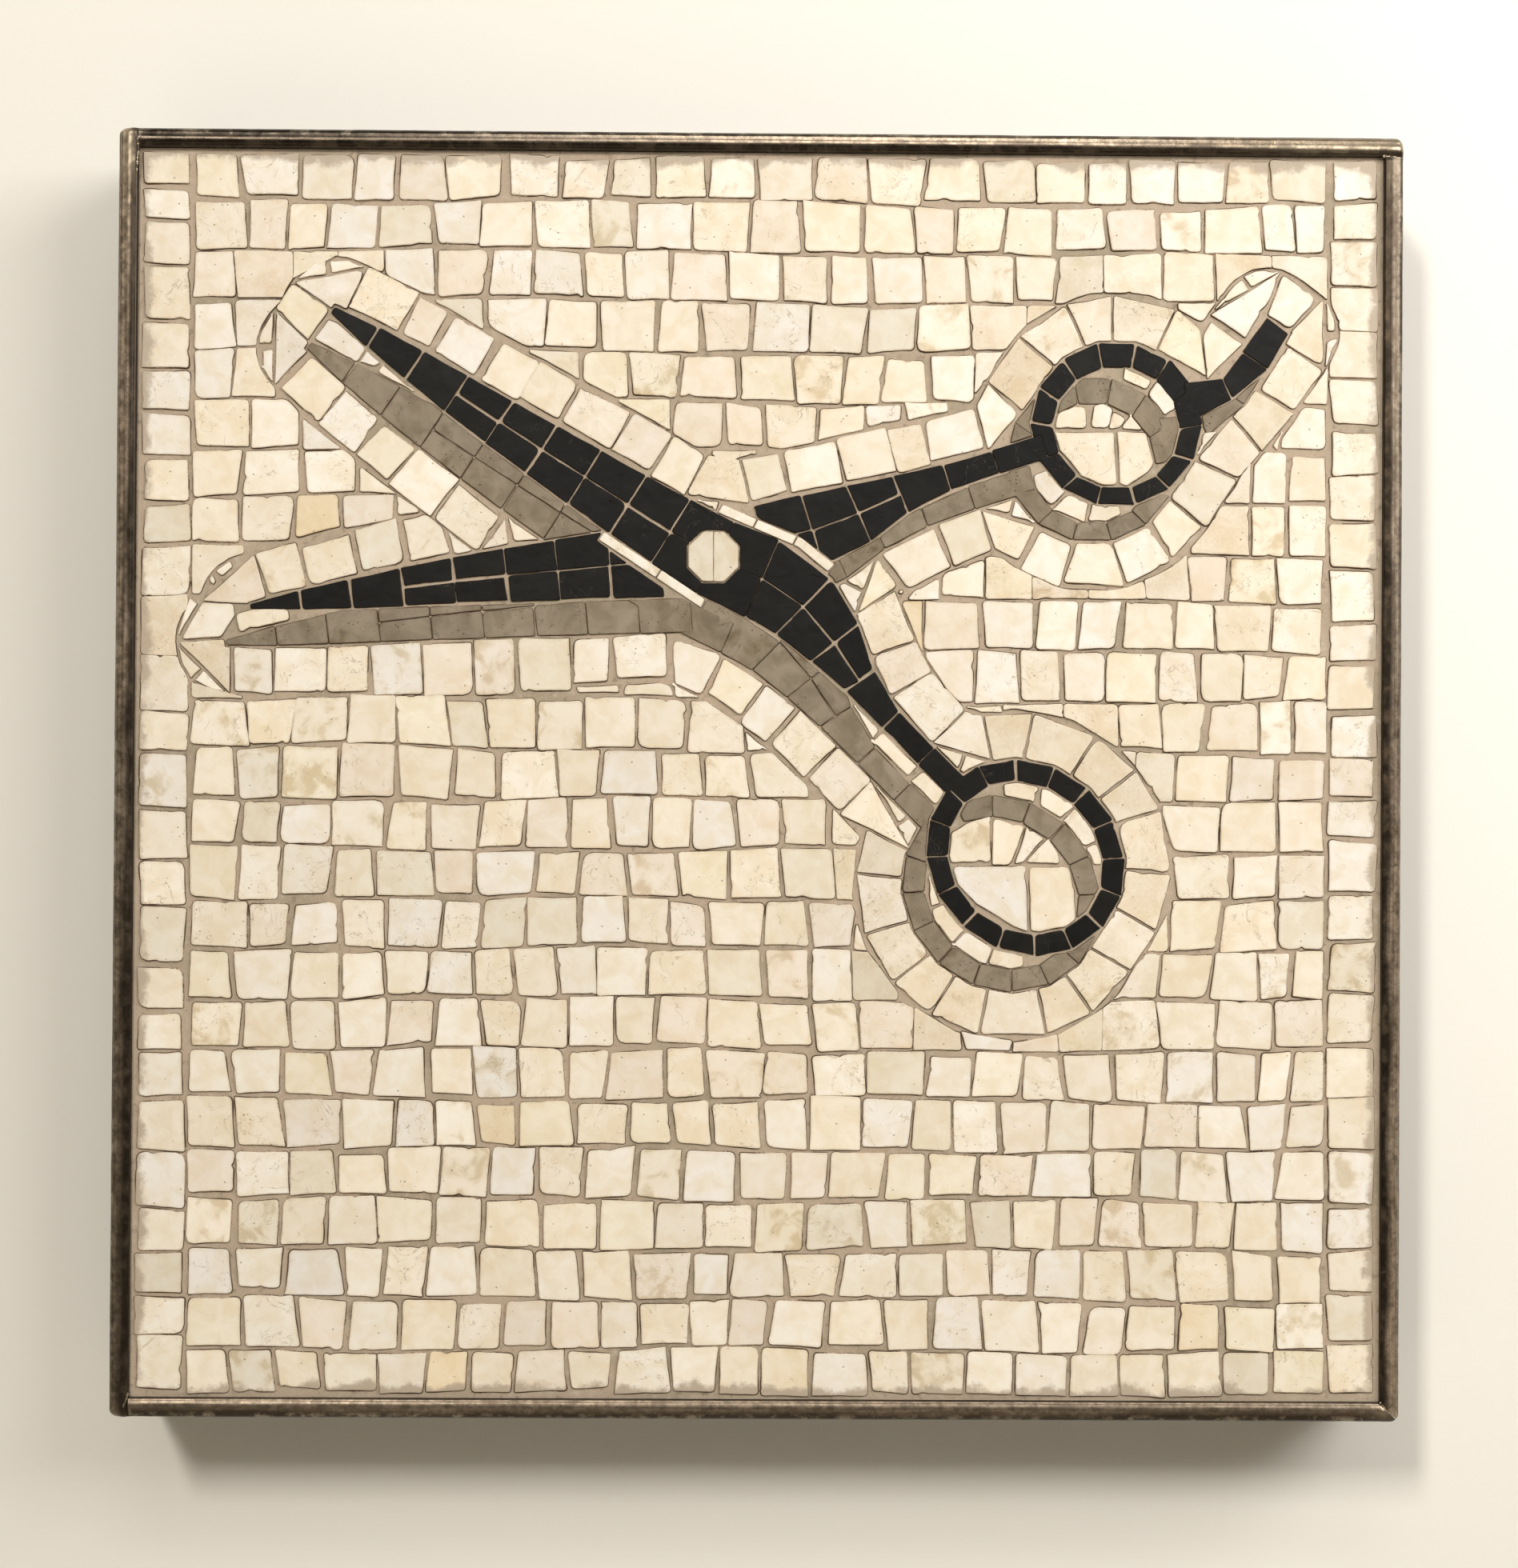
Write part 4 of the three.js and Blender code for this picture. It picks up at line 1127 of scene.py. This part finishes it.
class MOSAIC_OT_ground(bpy.types.Operator):
    """Builds the ground stones, in three pieces, from the frame's own outlines."""

    bl_idname = "mosaic.ground"
    bl_label = "Ground stones"

    def execute(self, context):
        stones, colours = context.scene.mosaic_stones, context.scene.mosaic_colours
        cells = [c for c in front_cells("ground_tesserae") if narrowest(c) > LEAST_WIDTH]
        others = [c for node, _ in STONE_NODES.values() for c in front_cells(node)]
        cells = fitted(fitted(cells, others), others, least=0.0003)
        shared = touching_edges(cells)
        cells = [(c, GROWN) for c in cells] + [(c, 0.0) for c in gap_stones(cells + others)]
        cells.sort(key=lambda c: (round(centre_of(c[0]).y, 5), round(centre_of(c[0]).x, 5)))
        if len(cells) < FEWEST_STONES:
            raise RuntimeError("too few ground stones were found in the frame")
        material = stone_material(
            "Cream marble", 0.010, 0.09, linear(0.965, 0.94, 0.89), linear(0.72, 0.65, 0.54), 0.42, tuple(colours.grout)
        )
        names = ("ground_stones_lower", "ground_stones_middle", "ground_stones_upper")
        heaps = {name: StoneHeap() for name in names}
        for i, (cell, tight) in enumerate(cells):
            dice = random.Random(stones.seed * 1000 + i)
            heap = heaps[names[len(names) * i // len(cells)]]
            heap.add(cell, ground_tone(dice, colours), dice, stones, FACE, 1.0, 1.0, tight, shared=shared)
        for name, heap in heaps.items():
            piece = grown(
                heap.make(name),
                split_face_tree(),
                {"Relief": stones.relief, "Edge wander": 0.00004, "Seed": stones.seed, "Material": material},
            )
            as_piece(piece, ["ground_tesserae"])
        return {"FINISHED"}


class MOSAIC_OT_picture(bpy.types.Operator):
    """Builds the black halves, the pivot, the highlight slips and the cast shadow."""

    bl_idname = "mosaic.picture"
    bl_label = "Picture stones"

    def execute(self, context):
        stones, colours = context.scene.mosaic_stones, context.scene.mosaic_colours
        grout = tuple(colours.grout)
        black = stone_material(
            "Black marble", 0.006, 0.10, linear(0.80, 0.79, 0.78), linear(0.30, 0.28, 0.25), 0.46,
            linear(0.19, 0.175, 0.15), amount=0.3, vein_share=0.2, shine=0.14,
        )
        taupe = stone_material(
            "Taupe stone", 0.010, 0.35, linear(0.84, 0.83, 0.80), linear(0.40, 0.36, 0.30), 0.6,
            linear(0.36, 0.31, 0.25), grain=2.4, amount=0.8, vein_share=0.6, shine=0.2,
        )
        pale = stone_material(
            "White marble", 0.008, 0.10, linear(0.95, 0.92, 0.87), linear(0.72, 0.66, 0.56), 0.4, grout
        )
        kinds = {
            "black_stone": (black, colours.black, 0.18, 0.40, 0.35, 0.00005),
            "taupe_stone": (taupe, colours.taupe, 0.07, 0.22, 0.8, 0.0),
            "pivot_stone": (pale, colours.grey, 0.07, 0.10, 0.8, 0.0),
            "white_stone": (pale, colours.white, 0.02, 0.0, 0.8, 0.0),
        }
        for order, (name, (node, slot)) in enumerate(STONE_NODES.items()):
            material, tone, spread, loose, skirted, tight = kinds[slot]
            cells = sorted(front_cells(node), key=lambda c: (round(centre_of(c).y, 5), round(centre_of(c).x, 5)))
            if not cells:
                raise RuntimeError(f"no stones were found in {node}")
            if slot == "white_stone":
                cells = parted(cells[0], (0.44,) if "lower" in name else (0.36, 0.70))
            heap = StoneHeap()
            for i, cell in enumerate(cells):
                dice = random.Random(stones.seed * 100 + order * 7919 + i)
                own, chips = varied(tone, dice, spread), slot != "white_stone"
                heap.add(cell, own, dice, stones, PICTURE_FACE, loose, skirted, tight, chips)
            piece = grown(
                heap.make(name),
                split_face_tree(),
                {"Relief": stones.relief, "Edge wander": 0.00003, "Seed": stones.seed + order, "Material": material},
            )
            as_piece(piece, [node])
        return {"FINISHED"}


class MOSAIC_OT_grout(bpy.types.Operator):
    """Builds the grout between the stones."""

    bl_idname = "mosaic.grout"
    bl_label = "Grout"

    def execute(self, context):
        holder = new_object("joint_grout", bpy.data.meshes.new("joint_grout"))
        low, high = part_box("ground_tesserae")
        piece = grown(
            holder,
            grout_tree(),
            {
                "Width": high.x - low.x,
                "Height": high.z - low.z,
                "Front": GROUT_FRONT,
                "Back": high.y,
                "Seed": context.scene.mosaic_stones.seed,
                "Material": grout_material(),
            },
        )
        as_piece(piece, ["ground_tesserae"])
        return {"FINISHED"}


def bar_section(arris, inner, crown):
    """Section of a bar: (across, back, worn) points, across 0 to width, back 0 at the front to depth."""
    width, depth, bevel = BAR_WIDTH, BAR_DEPTH, BACK_ARRIS
    pts = []
    steps = 6
    for k in range(9):
        t = k / 8
        pts.append((arris + (width - arris - inner) * t, -crown * 4 * t * (1 - t) + crown, 0.0))
    for k in range(1, steps + 1):
        a = math.pi / 2 * k / steps
        pts.append((width - inner + inner * math.sin(a), inner - inner * math.cos(a) + crown, math.sin(2 * a)))
    for k in range(1, 9):
        pts.append((width, inner + crown + (depth - inner - crown - bevel) * k / 8, 0.0))
    pts.append((width - bevel, depth, 0.6))
    for k in range(1, 4):
        pts.append((width - bevel - (width - 2 * bevel) * k / 3, depth, 0.0))
    pts.append((0.0, depth - bevel, 0.6))
    for k in range(1, 9):
        pts.append((0.0, depth - bevel - (depth - arris - crown - bevel) * k / 8, 0.0))
    for k in range(1, steps):
        a = math.pi / 2 * k / steps
        pts.append((arris - arris * math.cos(a), arris - arris * math.sin(a) + crown, math.sin(2 * a)))
    return pts


def bar_mesh(name, start, end, inward, rounds, steel):
    """A bar from start to end, points (x, z) on its outer face. inward points to the panel's middle.

    rounds gives, for each end, whether its outer corner is rounded."""
    start, end, inward = Vector(start), Vector(end), Vector(inward)
    width, depth = BAR_WIDTH, BAR_DEPTH
    run = end - start
    total, along = run.length, run.normalized()
    arris, corner = steel.arris, steel.corner
    near = [round(corner * (1 - math.cos(math.pi / 2 * k / 6)), 7) for k in range(1, 7)]
    inner = list(np.linspace(corner, total - corner, int((total - 2 * corner) / 0.0012)))
    stations = [0.0] + near[:-1] + inner + [total - s for s in reversed(near[:-1])] + [total]
    section = bar_section(arris, steel.inner, steel.crown)
    verts, worn, drawn, free = [], [], [], []
    for s in stations:
        from_end = [(s, rounds[0]), (total - s, rounds[1])]
        out, front = 0.0, 0.0
        for d, rounded in from_end:
            if d < corner and rounded:
                out = max(out, corner - math.sqrt(max(0.0, corner**2 - (corner - d) ** 2)))
            if d < arris and rounded:
                front = max(front, arris - math.sqrt(max(0.0, arris**2 - (arris - d) ** 2)))
        for across, back, wear in section:
            a = out + across * (width - out) / width
            b = front + back * (depth - front) / depth
            p = start + along * s + inward * a
            verts.append((p.x, -depth + b, p.y))
            tip = 1.0 if min(s, total - s) < 0.0008 else 0.0
            worn.append(max(wear, tip))
            drawn.append((s * 1000, across * 1000, back * 1000))
            free.append(0.0 if min(s, total - s) < 0.0003 else 1.0)
    n, faces = len(section), []
    for r in range(len(stations) - 1):
        for i in range(n):
            j = (i + 1) % n
            faces.append((r * n + i, r * n + j, (r + 1) * n + j, (r + 1) * n + i))
    faces.append(tuple(reversed(range(n))))
    faces.append(tuple((len(stations) - 1) * n + i for i in range(n)))
    mesh = bpy.data.meshes.new(name)
    mesh.from_pydata(verts, [], faces)
    give_values(mesh, "worn", "FLOAT", worn)
    give_values(mesh, "free", "FLOAT", free)
    give_values(mesh, "drawn", "FLOAT_VECTOR", drawn)
    made = new_object(name, mesh)
    work = bmesh.new()
    work.from_mesh(mesh)
    bmesh.ops.recalc_face_normals(work, faces=work.faces)
    work.to_mesh(mesh)
    work.free()
    return made


def mitred(obj, point, normal):
    """Cuts the bar at a plane and closes the cut."""
    work = bmesh.new()
    work.from_mesh(obj.data)
    cut = bmesh.ops.bisect_plane(
        work,
        geom=work.verts[:] + work.edges[:] + work.faces[:],
        plane_co=point,
        plane_no=normal,
        clear_outer=True,
    )
    edges = [e for e in cut["geom_cut"] if isinstance(e, bmesh.types.BMEdge)]
    bmesh.ops.edgeloop_fill(work, edges=edges)
    bmesh.ops.recalc_face_normals(work, faces=work.faces)
    work.to_mesh(obj.data)
    work.free()
    return obj


class MOSAIC_OT_frame(bpy.types.Operator):
    """Builds the four steel bars with worn arrises, rounded corners and one mitre."""

    bl_idname = "mosaic.frame"
    bl_label = "Steel frame"

    def execute(self, context):
        steel = context.scene.mosaic_steel
        low, high = CAD_BOX
        x0, x1, z0, z1, t, gap = low.x, high.x, low.z, high.z, BAR_WIDTH, BAR_GAP
        left = bar_mesh("left_bar", (x0, z0), (x0, z1), (1, 0), (True, True), steel)
        top = bar_mesh("top_bar", (x0 + t + gap, z1), (x1, z1), (0, -1), (False, True), steel)
        right = bar_mesh("right_bar", (x1, z1 - t - gap), (x1, z0), (-1, 0), (False, True), steel)
        bottom = bar_mesh("bottom_bar", (x1, z0), (x0 + t + gap, z0), (0, 1), (True, False), steel)
        corner = Vector((x1, 0, z0))
        mitred(right, corner + Vector((0, 0, gap)), Vector((-1, 0, -1)))
        mitred(bottom, corner - Vector((gap, 0, 0)), Vector((1, 0, 1)))
        # Each look: node, length, painted brightness at the bar's two ends, mottling, paleness beside the welds, its
        # reach, and on two bars the roughness; the bottom bar's flag puts its painted lit half at its inner, upper
        # arris.
        looks = {
            left: ("frame_bar_left", 0.258, (1.4, 3.6), 0.30, (0.0, 0.75), 13.0),
            top: ("frame_bar_top", 0.254, (0.2, 1.5), 0.30, (0.0, 0.6), 44.0, (0.18, 0.28)),
            right: ("frame_bar_right", 0.254, (0.6, 3.6), 0.6, (0.15, 0.0), 10.0),
            bottom: ("frame_bar_bottom", 0.254, (1.3, 1.3), 0.5, (0.2, 0.0), 8.0, (0.30, 0.46), True),
        }
        for order, (bar, (node, *look)) in enumerate(looks.items()):
            material = steel_material("Patinated steel " + node.split("_")[-1], *look)
            grown(bar, worn_bar_tree(), {"Wear": steel.wear, "Seed": 3 + order, "Material": material})
            bar.data.shade_smooth()
            as_piece(bar, [node])
        lines = (
            ((x0 + t - 0.0001, z1 - 0.0022), (x0 + t + 0.0001, z1 - 0.0045), (x0 + t - 0.0002, z1 - 0.0090)),
            ((x0 + t - 0.0010, z0 + 0.0022), (x0 + t - 0.0004, z0 + 0.0034), (x0 + t + 0.0001, z0 + 0.0048)),
            ((x1 - t - 0.0002, z1 - t), (x1 - 0.0020, z1 - t - 0.0001)),
            ((x1 - t, z0 + t), (x1 - 0.0021, z0 + 0.0021)),
        )
        verts, edges = [], []
        for line in lines:
            for k, (x, z) in enumerate(line):
                if k:
                    edges.append((len(verts) - 1, len(verts)))
                verts.append((x, WELD_FRONT, z))
        mesh = bpy.data.meshes.new("weld_drops")
        mesh.from_pydata(verts, edges, [])
        drops = new_object("weld_drops", mesh)
        made, g, shader, here = new_material("Weld metal")
        place = g.scaled(here, 1000.0)
        share = g.ramp(g.noise(place, 1.1, 3.0, 0.6), 0.4, 0.6)
        tone = g.mix(share, linear(0.30, 0.26, 0.21), linear(0.66, 0.60, 0.50))
        g.give(shader["Base Color"], tone)
        g.give(shader["Metallic"], g.ramp(g.noise(place, 0.7, 2.0), 0.4, 0.6, 0.95, 0.7))
        g.give(shader["Roughness"], g.ramp(g.noise(place, 2.0, 3.0), 0.35, 0.65, 0.22, 0.45))
        height = g.noise(place, 5.0, 3.0, 0.6)
        g.give(shader["Normal"], g.bump(0.4, 0.0001, height))
        grown(drops, weld_tree(), {"Drop": 0.00026, "Flatness": 0.55, "Seed": 4, "Material": made})
        drops.data.shade_smooth()
        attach(drops, "root")
        return {"FINISHED"}


class MOSAIC_OT_back(bpy.types.Operator):
    """Gives the board and the bedding mortar their finishes."""

    bl_idname = "mosaic.back"
    bl_label = "Board and mortar"

    def execute(self, context):
        for node, material in (("backing_board", board_material()), ("mortar_bed", mortar_material())):
            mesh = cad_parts[node].data
            mesh.materials.clear()
            mesh.materials.append(material)
        return {"FINISHED"}


def wall_material(wall):
    """Painted wall, seen through from behind."""
    made, g, shader, here = new_material("Painted wall")
    place = g.scaled(here, 1000.0)
    body = g.mix(g.noise(place, 0.004, 3.0), wall, g.tinted(wall, linear(0.985, 0.98, 0.97)))
    g.give(shader["Base Color"], body)
    shader["Roughness"].default_value = 0.75
    fine = g.noise(place, 0.6, 3.0, 0.6)
    g.give(shader["Normal"], g.bump(0.1, 0.0002, fine))
    back = g.node("ShaderNodeNewGeometry", out=6)
    clear = g.node("ShaderNodeBsdfTransparent")
    front = next(n for n in g.tree.nodes if n.type == "BSDF_PRINCIPLED").outputs[0]
    mixed = g.node("ShaderNodeMixShader", values={0: back, 1: front, 2: clear})
    output = next(n for n in g.tree.nodes if n.type == "OUTPUT_MATERIAL")
    g.give(output.inputs["Surface"], mixed)
    return made


def area_light(name, at, to, power, wide, tall, colour, only_shine=False):
    """A flat lamp at one point, turned to another. only_shine keeps it out of diffuse light."""
    data = bpy.data.lights.new(name, "AREA")
    data.shape, data.size, data.size_y = "RECTANGLE", wide, tall
    data.energy, data.color = power, colour
    lamp = new_object(name, data)
    lamp.visible_diffuse = not only_shine
    lamp.location = at
    lamp.rotation_mode = "QUATERNION"
    lamp.rotation_quaternion = (Vector(to) - Vector(at)).to_track_quat("-Z", "Y")


class MOSAIC_OT_stage(bpy.types.Operator):
    """Builds the wall, the floor, the lights and the camera."""

    bl_idname = "mosaic.stage"
    bl_label = "Stage"

    def execute(self, context):
        scene, stage = context.scene, context.scene.mosaic_stage
        middle = Vector((0.0, -0.015, -0.127))
        far, near, y = 2.6, 0.1255, 0.0004
        corners = ((-1, -1), (1, -1), (1, 1), (-1, 1))
        verts = [(half * a, y, middle.z + half * b) for half in (far, near) for a, b in corners]
        faces = [(0, 1, 5, 4), (1, 2, 6, 5), (2, 3, 7, 6), (3, 0, 4, 7)]
        mesh = bpy.data.meshes.new("wall")
        mesh.from_pydata(verts, [], faces)
        wall = new_object("wall", mesh)
        floor_mesh = bpy.data.meshes.new("floor")
        z = middle.z - 1.1
        floor_mesh.from_pydata([(-far, -3, z), (far, -3, z), (far, 1.5, z), (-far, 1.5, z)], [], [(0, 1, 2, 3)])
        floor = new_object("floor", floor_mesh)
        painted = wall_material(tuple(stage.wall))
        for o in (wall, floor):
            o.data.materials.append(painted)
        away = Vector((12.0, 30.0, -19.5)).normalized()
        top = Vector((0.0, -0.02, -0.05))
        area_light("Key", middle - away * 3.0, middle, stage.key, 0.28, 0.62, (1.0, 0.97, 0.92))
        area_light("Above", (0.01, -0.75, 0.62), top, stage.top, 0.40, 0.10, (1.0, 0.975, 0.94))
        area_light("Strip", (0.02, -0.75, 0.62), top, stage.strip, 0.42, 0.55, (1.0, 0.98, 0.95), True)
        area_light("Right", (0.48, -0.46, 0.20), middle, stage.side, 0.6, 0.36, (1.0, 0.99, 0.985))
        area_light("Lamp", (0.5, -0.5, 0.06), middle, stage.lamp, 0.10, 0.10, (1.0, 0.99, 0.97))
        area_light("Back", (0.4, 1.1, 0.4), middle, stage.back, 0.6, 0.6, (1.0, 0.98, 0.95))
        world = bpy.data.worlds.new("Room")
        world.use_nodes = True
        g = Graph(world.node_tree)
        back = world.node_tree.nodes["Background"]
        way = g.split(g.node("ShaderNodeTexCoord", out=0))
        above = g.ramp(way[2], -0.3, 0.9, 0.85, 1.15)
        beside = g.ramp(way[0], -0.7, 0.9, 0.7, 1.4)
        back.inputs[0].default_value = (1.0, 0.85, 0.64, 1.0)
        g.give(back.inputs[1], g.times(g.times(above, beside), stage.room))
        scene.world = world
        scene.view_settings.view_transform = "Standard"
        data = bpy.data.cameras.new("Camera")
        data.sensor_width, data.lens = 36.0, 36.0 * 3102.4 / 1960.0
        data.clip_start, data.clip_end = 0.01, 50.0
        camera = new_object("Camera", data)
        turn = Vector((-0.475, 0.477, -0.354)) * math.pi / 180
        level = Matrix(((1, 0, 0), (0, 0, 1), (0, -1, 0)))
        look = (Matrix.Rotation(turn.length, 3, turn.normalized()) @ level).transposed()
        camera.matrix_world = Matrix.Translation((-0.0041, -0.5262, -0.1330)) @ look.to_4x4()
        scene.camera = camera
        return {"FINISHED"}


class MOSAIC_PT_panel(bpy.types.Panel):
    """Lists the steps that build the panel."""

    bl_label = "Mosaic Panel"
    bl_idname = "MOSAIC_PT_panel"
    bl_space_type = "VIEW_3D"
    bl_region_type = "UI"
    bl_category = "Mosaic"

    def draw(self, context):
        column = self.layout.column(align=True)
        for step in STEPS:
            column.operator(step.bl_idname)
        for name in ("mosaic_stones", "mosaic_colours", "mosaic_steel", "mosaic_stage"):
            settings = getattr(context.scene, name)
            box = self.layout.box()
            for prop in settings.bl_rna.properties:
                if not prop.is_readonly and prop.identifier != "name":
                    box.prop(settings, prop.identifier)


STEPS = (MOSAIC_OT_ground, MOSAIC_OT_picture, MOSAIC_OT_grout, MOSAIC_OT_frame, MOSAIC_OT_back, MOSAIC_OT_stage)
SETTINGS = {
    "mosaic_stones": MosaicStones,
    "mosaic_colours": MosaicColours,
    "mosaic_steel": MosaicSteel,
    "mosaic_stage": MosaicStage,
}
CLASSES = (*SETTINGS.values(), *STEPS, MOSAIC_PT_panel)


def register():
    for cls in CLASSES:
        bpy.utils.register_class(cls)
    for name, cls in SETTINGS.items():
        setattr(bpy.types.Scene, name, bpy.props.PointerProperty(type=cls))


def unregister():
    for name in SETTINGS:
        delattr(bpy.types.Scene, name)
    for cls in reversed(CLASSES):
        bpy.utils.unregister_class(cls)


def main():
    register()
    for step in ("ground", "picture", "grout", "frame", "back", "stage"):
        getattr(bpy.ops.mosaic, step)()


if __name__ == "__main__":
    main()
